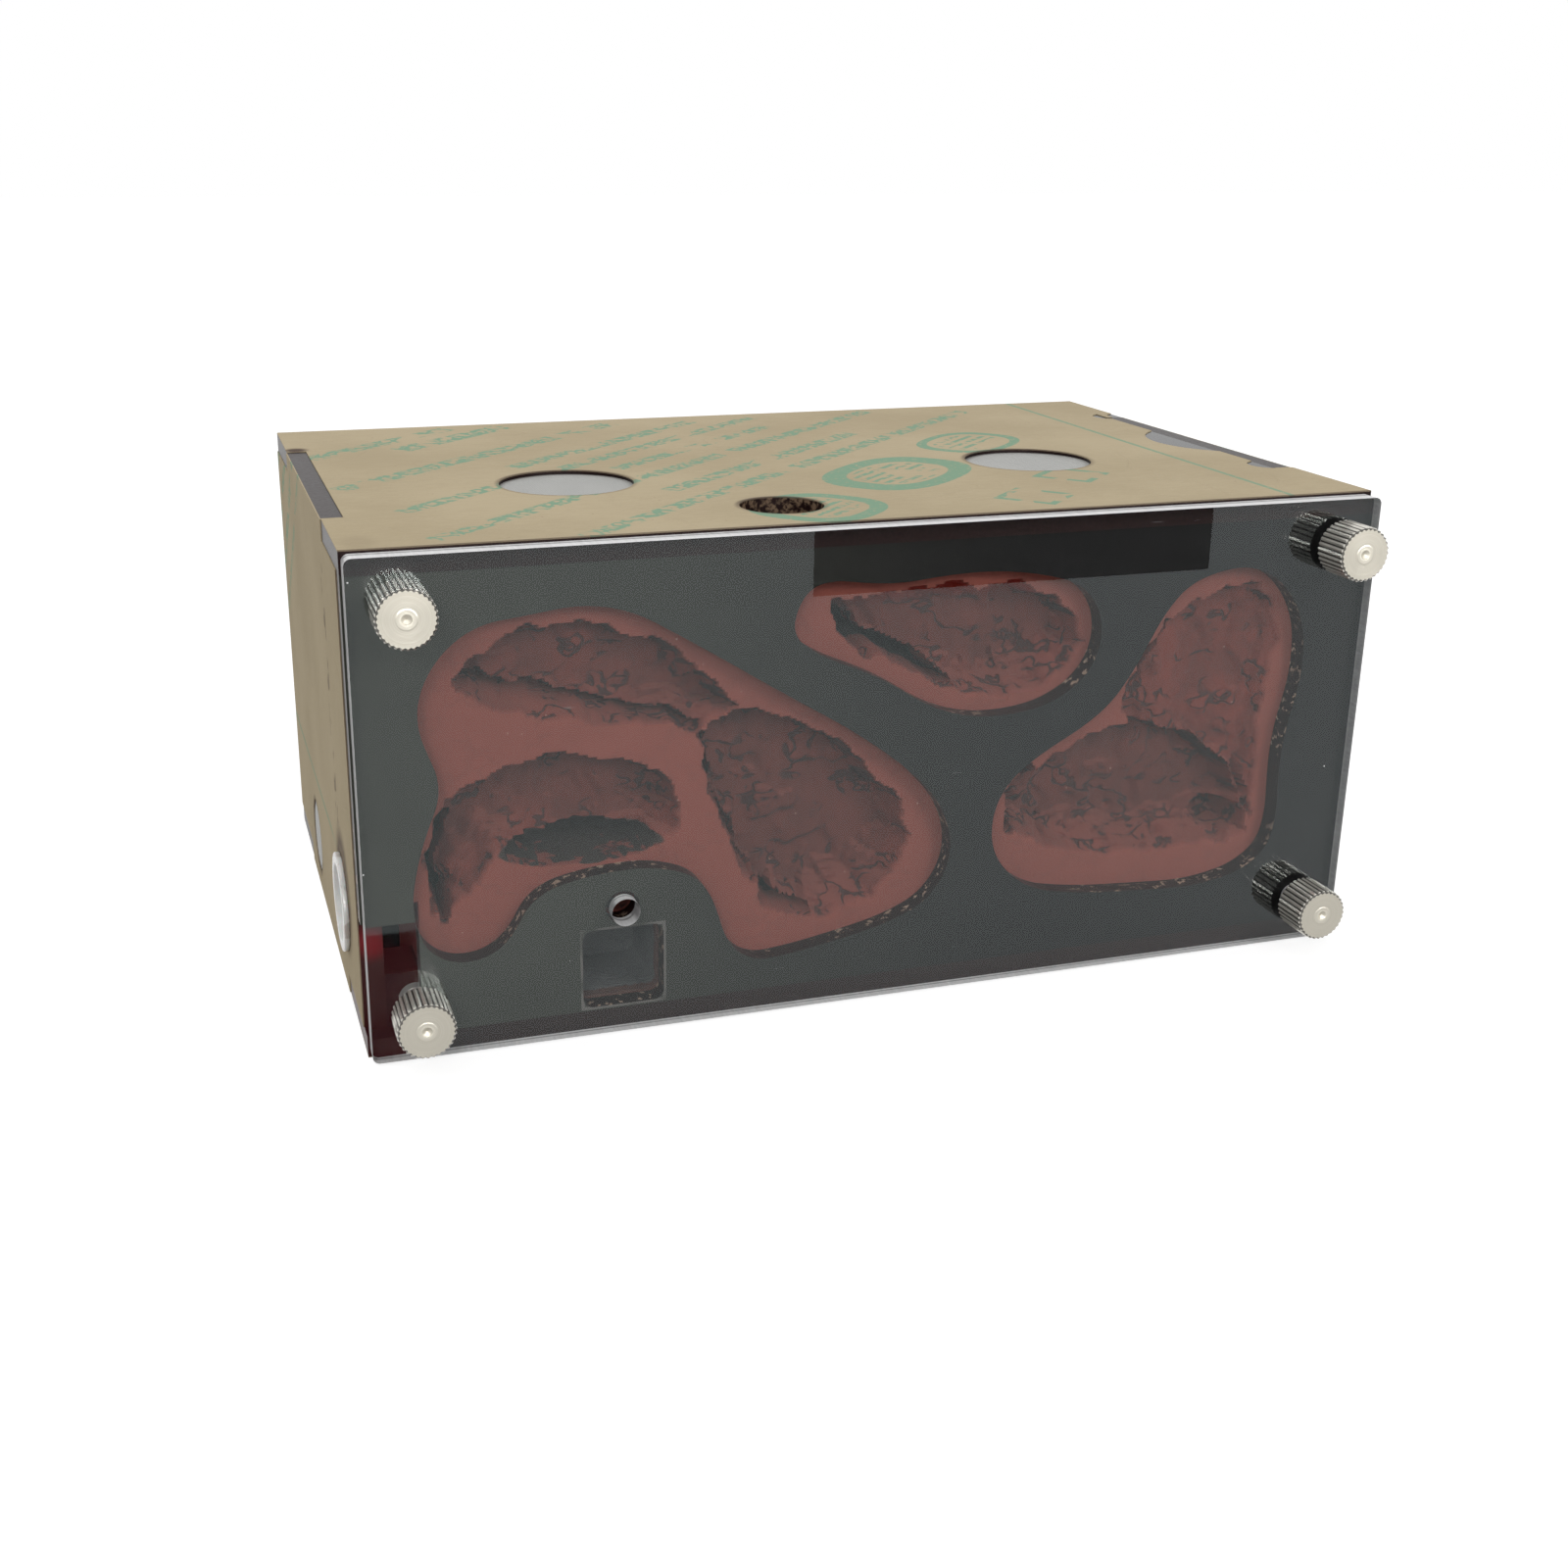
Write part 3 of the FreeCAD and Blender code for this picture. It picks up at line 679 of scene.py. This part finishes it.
def left_burns(skin):
    """Scorching above the entrance port, a row of scuffs, and the rims of the two holes."""
    halo = 1.0 - skin.smooth(skin.radius(skin.y, skin.z, port_y - 1.5, port_z + 2.5), 6.5, 10.5)
    scuffs = skin.within(skin.y, -25.3, -23.4, 0.9) * skin.within(skin.z, 26.0, 62.0, 2.0)
    scuffs = scuffs * skin.smooth(skin.noise(3.0, 1.0), 0.52, 0.60)
    vent = skin.radius(skin.y, skin.z, side_vent_y, side_vent_z) - side_vent_radius
    vent = 1.0 - skin.smooth(abs(vent), 0.4, 1.1)
    front = 1.0 - skin.smooth(skin.y, -44.4, -43.9)
    burn = skin.most(halo * (0.45 + 0.6 * skin.noise(2.5)), scuffs * 0.6)
    return skin.most(burn, skin.most(vent * 0.5, front * 0.6))


def side_print(skin):
    """A few rows of the same print on the papers that the front doesn't show."""
    rise = skin.z + skin.y * 0.8 + skin.x * 0.8
    rows = skin.smooth(skin.sine(rise, 15.0), 0.80, 0.88)
    return rows * squiggles(skin, stroke_size) * 0.75


def corner_wear(skin):
    """Grubby places along the edges of each paper, where the sheets meet."""
    up = skin.z - case_middle_z
    half_sizes = (case_half_width, case_half_depth, case_half_height)
    ends = 0.0
    for place, half_size, turned in zip((skin.x, skin.y, up), half_sizes, skin.facing()):
        near = skin.smooth(abs(place), half_size - 0.9, half_size)
        ends = skin.most(ends, near * (1.0 - abs(turned)))
    return ends * skin.smooth(skin.noise(5.0, 3.0), 0.45, 0.6) * 0.5


def masking_paper(name, ink_on, burns_on):
    """Kraft paper: fibres, faint clouds and creases, green ink and scorched places."""
    skin = Finish(name)
    fibre = skin.noise(0.45, 4.0, 0.65)
    strands = skin.noise(1.0, 3.0, 0.6, skin.point(skin.x * 0.35, skin.y * 1.4, skin.z * 0.9))
    cloud = skin.noise(26.0, 3.0)
    creases = skin.contour(skin.noise(34.0, 2.0), 0.5, 0.006)
    tone = skin.smooth(cloud * 0.55 + fibre * 0.25 + strands * 0.2, 0.36, 0.64)
    colour = skin.blend(tone, kraft_dark, kraft_light)
    colour = skin.blend(skin.specks(2.3, 0.09, 0.22) * 0.5, colour, (0.22, 0.15, 0.09, 1))
    ink = ink_on(skin) * skin.smooth(skin.noise(0.8, 2.0), 0.20, 0.45)
    colour = skin.blend(ink, colour, print_green)
    colour = skin.blend(burns_on(skin), colour, burnt_brown)
    height = fibre * 0.5 + strands * 0.4 + skin.noise(9.0, 1.0) * 2.0 + creases * 0.5
    roughness = 0.72 + 0.2 * fibre
    return skin.finish(skin.principled(Base_Color=colour, Roughness=roughness, Specular_IOR_Level=0.3,
                                       Normal=skin.bump(height, 0.08)))


def plate_wear(skin, tone, edge_tone, smears):
    """The windowed plate: dust on its left, chipped window edges, a light line round the pocket."""
    clean = skin.most(skin.smooth(skin.x, -70.0, 30.0), skin.smooth(skin.z, 66.9, 67.3) * 0.8)
    tone = skin.blend(clean, tone, (0.010, 0.010, 0.010, 1))
    tone = skin.blend((1.0 - clean) * (0.6 + 0.4 * smears), tone, (0.044, 0.047, 0.038, 1))
    chips = skin.smooth(skin.noise(1.3, 3.0, 0.7), 0.57, 0.63)
    chips = chips * skin.smooth(skin.noise(16.0, 1.0), 0.42, 0.56)
    edge_tone = skin.blend(chips * 0.8, edge_tone, (0.40, 0.29, 0.21, 1))
    across = skin.most(pocket_left - skin.x, skin.x - pocket_right)
    up = skin.most(pocket_bottom - skin.z, skin.z - pocket_top)
    outline = skin.within(skin.most(across, up), -0.1, 0.25, 0.15)
    outline = outline * skin.smooth(skin.noise(6.0), 0.3, 0.5)
    tone = skin.blend(outline * 0.6, tone, (0.16, 0.15, 0.14, 1))
    return tone, edge_tone


def notch_glow(skin):
    """The dark red light in the sheets round the plate's notch, with a brighter spot in it."""
    spot = 1.0 - skin.smooth(skin.radius(skin.x, skin.z, -73.6, 15.8), 0.6, 3.2)
    near = 1.0 - skin.smooth(skin.x, notch_right - 0.1, notch_right + 0.3)
    near = near * (1.0 - skin.smooth(skin.z, 18.2, 18.9))
    near = near * (1.0 - skin.smooth(skin.y, -36.0, -12.0))
    return skin.blend(near * (0.16 + 0.84 * spot), grey(0.0), (0.100, 0.002, 0.005, 1))


def sheet_acrylic(name, flat_axis, chipped=False, lit=False):
    """Dark acrylic: polished on its two faces and striped by the laser on its cut edges."""
    skin = Finish(name)
    facing = skin.facing()
    cut = 1.0 - skin.smooth(abs(facing[flat_axis]), 0.6, 0.9)
    smears = skin.noise(14.0, 4.0, 0.6)
    tone = skin.blend(smears, (0.004, 0.004, 0.005, 1), (0.008, 0.007, 0.008, 1))
    tone = skin.blend(skin.specks(7.0, 0.025, 0.30), tone, (0.55, 0.52, 0.48, 1))
    stripes = skin.noise(0.5)
    edge_tone = skin.blend(stripes, (0.006, 0.003, 0.003, 1), (0.020, 0.008, 0.007, 1))
    if chipped:
        tone, edge_tone = plate_wear(skin, tone, edge_tone, smears)
    crumbs = skin.smooth(skin.noise(0.9, 3.0, 0.6), 0.42, 0.62)
    from_well = skin.radius(skin.x, skin.y, well_x, well_y)
    crumbs = crumbs * (1.0 - skin.smooth(from_well, hydration_radius + 0.2, hydration_radius + 0.6))
    edge_tone = skin.blend(crumbs, edge_tone, (0.170, 0.115, 0.075, 1))
    glow = notch_glow(skin) if lit else grey(0.0)
    face = skin.principled(Base_Color=tone, Roughness=0.12 + 0.06 * smears, Specular_IOR_Level=0.08,
                           Emission_Color=glow, Emission_Strength=1.0)
    edge = skin.principled(Base_Color=edge_tone, Roughness=0.26 + 0.12 * stripes, Specular_IOR_Level=0.08,
                           Emission_Color=glow, Emission_Strength=1.0, Normal=skin.bump(stripes, 0.03))
    return skin.finish(skin.mix(cut, face, edge))


def cover_glass(skin, middle):
    """The cover's faces: glass that mirrors at its front only, with specks and scratches."""
    mirroring = skin.principled(Base_Color=grey(1.0), Roughness=0.0, Transmission_Weight=1.0,
                                IOR=acrylic_ior, Specular_Tint=(0.90, 1.0, 1.01, 1))
    passing = skin.node("ShaderNodeBsdfRefraction", None,
                        {"Color": grey(1.0), "Roughness": 0.0, "IOR": acrylic_ior})
    behind = skin.smooth(skin.y, middle - 0.1, middle + 0.1)
    # Over the plate's notch the front lets light pass without mirroring the room: a painted dark
    # reflection.
    over_notch = 1.0 - skin.smooth(skin.x, notch_right - 1.0, notch_right)
    over_notch = over_notch * (1.0 - skin.smooth(skin.z, notch_top - 0.6, notch_top))
    glass = skin.mix(skin.most(behind, over_notch * 0.85), mirroring, passing.outputs[0])
    scratches = skin.noise(1.2, 3.0, 0.6, skin.point(skin.x * 0.2, skin.y, skin.z * 1.5))
    scratches = skin.smooth(scratches, 0.76, 0.80) * 0.12
    bright = skin.principled(Base_Color=grey(0.75), Roughness=0.5)
    return skin.mix(skin.most(skin.specks(9.0, 0.016, 0.5), scratches), glass, bright)


def cover_edge(skin, middle):
    """The cover's cut edges and holes: frosted by the laser, with painted highlights along the rims next
    to its faces and on edges turned up, fainter on edges turned left.
    """
    facing = skin.facing()
    stripes = skin.noise(0.4, 2.0, 0.5, skin.point(skin.x, skin.y * 0.12, skin.z))
    # Painted highlight along the rims next to the cover's faces, weaker on edges turned to the left.
    rims = skin.smooth(abs(skin.y - middle), 0.75, 1.0)
    rims = rims * (1.0 - 0.85 * skin.smooth(facing[0] * -1.0, 0.5, 0.8))
    # Painted light on edges turned up, in the cover's front half.
    lying = skin.smooth(facing[2], 0.5, 0.8) * (1.0 - skin.smooth(skin.y, middle + 0.2, middle + 0.6))
    tone = skin.blend(stripes * 0.4 + skin.most(rims, lying) * 0.6,
                      (0.16, 0.155, 0.16, 1), (0.98, 0.98, 0.98, 1))
    return skin.principled(Base_Color=tone, Roughness=0.35 + 0.2 * stripes, Transmission_Weight=0.12,
                           Normal=skin.bump(stripes, 0.08))


def clear_acrylic():
    """The clear cover, which lets plain light and shadow rays pass its faces unbent."""
    skin = Finish("clear_acrylic")
    middle = (cover_front + cover_back) / 2
    cut = 1.0 - skin.smooth(abs(skin.facing()[1]), 0.5, 0.8)
    rays = skin.node("ShaderNodeLightPath").outputs
    through = skin.most(rays["Is Shadow Ray"], rays["Is Diffuse Ray"])
    clear = skin.node("ShaderNodeBsdfTransparent").outputs[0]
    faces = skin.mix(through, cover_glass(skin, middle), clear)
    return skin.finish(skin.mix(cut * 0.9, faces, cover_edge(skin, middle)))


def plaster_tone(skin, depth, carved, mottle, grain):
    """The plaster's red, pale on its face. Painted shade makes it darker where it is carved, darker still
    deeper in and dark on its overhangs; painted light makes its ledges lighter.
    """
    face = skin.blend(mottle, (0.172, 0.043, 0.030, 1), (0.205, 0.054, 0.038, 1))
    # Where it is carved the red is darker than on the face, and darker again deeper in: painted shade.
    cut = skin.blend(skin.smooth(mottle * 0.7 + grain * 0.3, 0.35, 0.65),
                     (0.090, 0.020, 0.014, 1), (0.148, 0.029, 0.019, 1))
    cut = skin.blend(skin.smooth(depth, 2.0, 7.5) * 0.6, cut, (0.066, 0.019, 0.014, 1))
    colour = skin.blend(carved, face, cut)
    # Faces turned down are darkened with painted shade, faces turned up are lightened with painted light.
    upwards = skin.facing()[2]
    overhang = skin.smooth(upwards * -1.0, 0.40, 0.65) * carved
    colour = skin.blend(overhang * 0.8, colour, (0.024, 0.011, 0.009, 1))
    ledge = skin.smooth(upwards, 0.45, 0.75) * carved
    return skin.blend(ledge * 0.45, colour, (0.200, 0.058, 0.042, 1))


def plaster_cracks(skin, carved, mottle):
    """Broken cracks, wide and fine, faint on the face and clear where the plaster is carved."""
    flattened = skin.point(skin.x * 0.7, skin.y, skin.z * 1.3)
    wide = skin.contour(skin.noise(9.0, 3.0, 0.6, flattened), 0.47, 0.020)
    fine = skin.contour(skin.noise(4.0, 2.0, 0.5), 0.55, 0.040) * skin.smooth(mottle, 0.42, 0.52)
    broken = skin.smooth(skin.noise(5.0, 1.0), 0.44, 0.52)
    return skin.most(wide, fine) * (0.12 + 0.88 * carved) * broken


def deep_black(skin, depth):
    """Where no light reaches: the deepest cuts and the ragged mouth of the large tunnel."""
    mouth_x, mouth_z, half_width, half_height = tunnel_mouths[0][:4]
    ragged = (skin.noise(3.5, 3.0) - 0.5) * 1.6
    spread = abs((skin.x - mouth_x) / half_width) ** 1.5
    spread = spread + abs((skin.z + ragged - mouth_z) / half_height) ** 2.0
    return skin.most(skin.smooth(depth, 8.2, 9.8), 1.0 - skin.smooth(spread, 1.10, 1.20))


def damp_well(skin, colour, grain):
    """The plaster's colour with the brown damp crumbs under the hydration hole laid over it."""
    from_well = skin.radius(skin.x, skin.y, well_x, well_y)
    well = 1.0 - skin.smooth(from_well, well_radius + 0.5, well_radius + 1.1)
    well = well * skin.smooth(skin.z, 57.4, 57.8)
    damp = skin.blend(skin.smooth(grain, 0.35, 0.65), (0.050, 0.032, 0.022, 1), (0.420, 0.270, 0.180, 1))
    return skin.blend(well, colour, damp)


def square_pocket(skin, colour, depth):
    """The plaster's colour with the walls, in painted shade, and the grey back of the square pocket laid
    over it.
    """
    pocket = skin.within(skin.x, pocket_left - 0.1, pocket_right + 0.1, 0.1)
    pocket = pocket * (1.0 - skin.smooth(skin.z, pocket_top + 0.15, pocket_top + 0.35))
    # The pocket's walls are painted a darker brown than the face: painted shade.
    wall = skin.blend(skin.noise(2.0), (0.060, 0.030, 0.024, 1), (0.110, 0.050, 0.038, 1))
    back = skin.smooth(depth + skin.noise(3.0) * 3.0, 3.6, 4.4)
    wall = skin.blend(back, wall, (0.095, 0.097, 0.097, 1))
    return skin.blend(pocket * skin.smooth(depth, 0.05, 0.1), colour, wall)


def plaster():
    """Red cast plaster: smooth on its face, rough and cracked where it is carved, and darker there with
    painted shade.
    """
    skin = Finish("plaster")
    depth = skin.y - nest_low.y
    carved = skin.smooth(depth, 0.1, 1.0)
    mottle = skin.noise(6.0, 4.0, 0.6)
    grain = skin.noise(0.7, 4.0, 0.65)
    cracks = plaster_cracks(skin, carved, mottle)
    colour = plaster_tone(skin, depth, carved, mottle, grain)
    colour = skin.blend(cracks * 0.8, colour, (0.020, 0.011, 0.010, 1))
    colour = skin.blend(skin.specks(1.8, 0.10, 0.10) * 0.5, colour, (0.42, 0.27, 0.22, 1))
    # Under the roof of the upper middle chamber the plaster is painted a saturated red: painted light.
    under_roof = skin.smooth(skin.z, 56.2, 58.6) * skin.within(skin.x, -3.0, 24.0, 6.0) * carved
    colour = skin.blend(under_roof * 0.7, colour, (0.150, 0.010, 0.005, 1))
    colour = skin.blend(deep_black(skin, depth), colour, (0.028, 0.021, 0.017, 1))
    colour = damp_well(skin, colour, grain)
    # In the corridor at the lower left the plaster's walls are painted a dark red: painted shade.
    corridor = 1.0 - skin.smooth(skin.x, corridor_right + 0.1, corridor_right + 0.3)
    corridor = corridor * (1.0 - skin.smooth(skin.z, corridor_top + 0.05, corridor_top + 0.25))
    colour = skin.blend(corridor, colour, (0.040, 0.003, 0.003, 1))
    # The lower part of the corridor is given a faint red glow: painted light.
    lit_corridor = corridor * (1.0 - skin.smooth(skin.z, 17.6, 18.6))
    glow = skin.blend(lit_corridor, grey(0.0), (0.018, 0.001, 0.001, 1))
    # Under the roof the plaster is also given a faint red glow: painted light.
    glow = skin.blend(under_roof * 0.8, glow, (0.030, 0.001, 0.000, 1))
    colour = square_pocket(skin, colour, depth)
    height = grain * 0.4 + mottle * carved - cracks * carved * 0.6
    return skin.finish(skin.principled(Base_Color=colour, Roughness=0.93, Specular_IOR_Level=0.2,
                                       Emission_Color=glow, Emission_Strength=1.0,
                                       Normal=skin.bump(height, 0.35)))


def nickel():
    """Nickel plate: painted shade in the knurl's grooves, turned rings on the outer faces."""
    skin = Finish("nickel")
    height = skin.least(abs(skin.z - screw_z_low), abs(skin.z - screw_z_high))
    distance = skin.radius(abs(skin.x), height, screw_x, 0.0)
    end_face = skin.smooth(skin.facing()[1] * -1.0, 0.6, 0.8)
    # The knurl's grooves are painted near black: painted shade.
    groove = (1.0 - skin.smooth(distance, 3.80, 3.89)) * (1.0 - end_face)
    wear = skin.noise(1.6, 3.0, 0.6)
    turned = skin.noise(0.16, 3.0, 0.7, skin.point(distance, 0.0, 0.0))
    rings = skin.within(distance, 0.75, 1.25, 0.2) * end_face
    plate = skin.blend(wear, (0.62, 0.595, 0.53, 1), (0.80, 0.775, 0.71, 1))
    turnings = skin.blend(turned * 0.8 + rings * 0.2, (0.30, 0.28, 0.24, 1), (0.52, 0.495, 0.425, 1))
    plate = skin.blend(end_face, plate, turnings)
    colour = skin.blend(groove * 0.95, plate, (0.012, 0.010, 0.009, 1))
    centre = 1.0 - skin.smooth(distance, 0.7, 1.0)
    roughness = 0.14 + 0.10 * wear + (0.16 + 0.2 * centre) * end_face
    normal = skin.bump(turned * end_face * 0.15 + rings * 0.25, 0.18)
    return skin.finish(skin.principled(Base_Color=colour, Metallic=0.65 + 0.35 * end_face,
                                       Roughness=roughness, Normal=normal))


def threaded_steel():
    """Plain steel of the studs and inserts, with the lines of the thread painted in as light and shade.
    """
    skin = Finish("threaded_steel")
    thread = skin.sine(skin.y, thread_pitch)
    wear = skin.noise(1.0, 3.0)
    # The thread's lines are painted darker in its grooves and lighter on its crests: painted shade and
    # light.
    colour = skin.blend(thread * 0.6 + wear * 0.4, (0.22, 0.21, 0.20, 1), (0.55, 0.54, 0.52, 1))
    return skin.finish(skin.principled(Base_Color=colour, Metallic=1.0, Roughness=0.25 + 0.15 * wear,
                                       Normal=skin.bump(thread, 0.2)))


def steel_mesh(name, side, middle_across, middle_up, radius):
    """Fine woven wire, darker at its rim where the laser's smoke settled."""
    skin = Finish(name)
    across, up = (skin.y, skin.z) if side else (skin.x, skin.y)
    over = skin.sine(across + up, wire_spacing)
    under = skin.sine(across - up, wire_spacing)
    weave = skin.most(over, under)
    cloud = skin.noise(6.0, 3.0)
    wire = skin.blend(cloud, (0.31, 0.31, 0.295, 1), (0.40, 0.40, 0.38, 1))
    colour = skin.blend((1.0 - weave) * 0.45, wire, (0.20, 0.20, 0.20, 1))
    distance = skin.radius(across, up, middle_across, middle_up)
    rim = skin.smooth(distance, radius - 1.1, radius - 0.1)
    soot = rim * (0.25 + 0.75 * skin.smooth(up, middle_up, middle_up + radius))
    colour = skin.blend(soot * 0.8, colour, (0.030, 0.018, 0.012, 1))
    return skin.finish(skin.principled(Base_Color=colour, Metallic=0.35, Roughness=0.42 + 0.12 * cloud,
                                       Normal=skin.bump(weave, 0.12)))


def plug_silicone():
    """Cloudy soft plastic, with smoke stains near its rim."""
    skin = Finish("plug_silicone")
    cloud = skin.noise(4.0, 3.0, 0.6)
    distance = skin.radius(skin.y, skin.z, port_y, port_z)
    colour = skin.blend(cloud, (0.46, 0.46, 0.44, 1), (0.74, 0.75, 0.73, 1))
    shade = skin.smooth(skin.x, -75.0, -73.6) * (1.0 - skin.smooth(distance, 5.4, 5.9))
    colour = skin.blend(shade * 0.75, colour, (0.07, 0.06, 0.055, 1))
    stain = skin.smooth(distance, 6.4, 7.2) * skin.smooth(skin.noise(3.0), 0.5, 0.6)
    colour = skin.blend(stain * 0.5, colour, (0.20, 0.13, 0.09, 1))
    return skin.finish(skin.principled(Base_Color=colour, Roughness=0.22 + 0.2 * cloud, Coat_Weight=0.3,
                                       Subsurface_Weight=0.15, Subsurface_Scale=0.002,
                                       Normal=skin.bump(cloud, 0.15)))


def pale_floor():
    """A plain floor that the camera sees white, with the object's shadow kept."""
    skin = Finish("pale_floor")
    matt = skin.node("ShaderNodeBsdfDiffuse", None, {"Color": grey(0.4)}).outputs[0]
    glow = skin.node("ShaderNodeEmission", None, {"Color": grey(1.0), "Strength": 0.76}).outputs[0]
    bright = skin.node("ShaderNodeAddShader", None, {0: matt, 1: glow}).outputs[0]
    return skin.finish(skin.mix(skin.seen_directly(), matt, bright))


def studio():
    """The floor, a white world and soft lamps in front and above."""
    bpy.ops.mesh.primitive_plane_add(size=6.0, location=(0, 0, 0))
    floor = bpy.context.object
    floor.name = "floor"
    floor.data.materials.append(pale_floor())
    world = bpy.data.worlds.new("studio")
    world.use_nodes = True
    sky = NodeWork(world.node_tree)
    strength = 0.62 + sky.seen_directly() * 0.38
    light = sky.node("ShaderNodeBackground", None, {"Color": grey(1.0), "Strength": strength}).outputs[0]
    sky.node("ShaderNodeOutputWorld", None, {"Surface": light})
    bpy.context.scene.world = world
    lamps = [
        ("front_left", (-0.42, -0.85, 0.50), 0.22, 2.4),
        ("front_right", (0.45, -0.85, 0.46), 0.22, 2.4),
        ("top", (-0.20, 0.10, 0.90), 0.50, 2.2),
    ]
    for name, place, size, power in lamps:
        bpy.ops.object.light_add(type="AREA", location=place)
        lamp = bpy.context.object
        lamp.name = name
        lamp.data.size = size
        lamp.data.energy = power
        lamp.rotation_euler = (-Vector(place)).to_track_quat("-Z", "Y").to_euler()


def gloss_card(name, middle, width, height, finish):
    """A card that faces the front of the box and shows in gloss and nowhere else, in metres."""
    bpy.ops.mesh.primitive_plane_add(size=1.0, location=middle, rotation=(math.pi / 2, 0, 0))
    card = bpy.context.object
    card.name = name
    card.scale = (width, height, 1.0)
    card.data.materials.append(finish)
    card.visible_camera = False
    card.visible_diffuse = False
    card.visible_transmission = False
    card.visible_shadow = False


def dark_card():
    """The dark thing of the room that the cover mirrors along its top."""
    black = Finish("dark_card")
    surface = black.principled(Base_Color=grey(0.01), Roughness=0.9)
    gloss_card("dark_card", (0.092, -0.200, 0.0316), 0.100, 0.0208, black.finish(surface))


def bright_card():
    """A long white card for the lines of light on the knurls."""
    white = Finish("bright_card")
    light = white.node("ShaderNodeEmission", None, {"Color": grey(1.0), "Strength": 12.0}).outputs[0]
    gloss_card("bright_card", (0.25, -0.80, 0.30), 1.30, 0.30, white.finish(light))


def dress(piece, finish):
    """Give a piece one finish all over."""
    piece.data.materials.clear()
    piece.data.materials.append(finish)


def photo_camera():
    """The camera at the photograph's place, found from the corners of the cover."""
    eye = Vector((-0.09619, -0.27501, 0.12070))
    forward = Vector((0.28613, 0.90295, -0.32064)).normalized()
    right = forward.cross(Vector((0.08958, 0.30796, 0.94717))).normalized()
    upwards = right.cross(forward)
    turn = Matrix((right, upwards, -forward)).transposed()
    bpy.ops.object.camera_add()
    camera = bpy.context.object
    camera.matrix_world = Matrix.Translation(eye) @ turn.to_4x4()
    camera.data.sensor_width = 36.0
    camera.data.lens = 42.21
    camera.data.shift_x = 0.0360
    camera.data.shift_y = -0.0240
    camera.data.clip_start = 0.01
    camera.data.clip_end = 20.0
    bpy.context.scene.camera = camera


dress(carved_nest(), plaster())
dress(dished_stopper(), plug_silicone())
dress(side_vent_mesh(), steel_mesh("side_vent_wire", True, side_vent_y, side_vent_z, side_vent_radius))

flat_finishes = [sheet_acrylic("acrylic_facing_" + letter, axis) for axis, letter in enumerate("xyz")]
finishes = {
    "front_cover": clear_acrylic(),
    "front_plate": sheet_acrylic("windowed_acrylic", 1, chipped=True),
    "back_panel": flat_finishes[1],
    "top_panel": flat_finishes[2],
    "bottom_panel": sheet_acrylic("acrylic_lit_floor", 2, lit=True),
    "corner_post_lower_left": sheet_acrylic("acrylic_lit_post", 1, lit=True),
    "left_side_panel": sheet_acrylic("acrylic_lit_side", 0, lit=True),
    "right_side_panel": flat_finishes[0],
    "top_mask": masking_paper("top_paper", top_print, top_burns),
    "left_mask": masking_paper("left_paper", left_print, left_burns),
    "vent_mesh_left": steel_mesh("left_mesh", False, -vent_x, vent_y, vent_radius),
    "vent_mesh_right": steel_mesh("right_mesh", False, vent_x, vent_y, vent_radius),
}
slot_finishes = {
    "dark_acrylic": flat_finishes[1],
    "masking_paper": masking_paper("plain_paper", side_print, corner_wear),
    "nickel": nickel(),
    "steel": threaded_steel(),
}
modelled_here = ("nest_block", "entrance_plug", "vent_mesh_side")
for part in frame["record"]["subparts"]:
    name = part["node"]
    if name not in modelled_here:
        dress(frame["nodes"][name], finishes.get(name) or slot_finishes[part["material_slot"]])

studio()
dark_card()
bright_card()
photo_camera()
bpy.context.scene.view_settings.view_transform = "Standard"
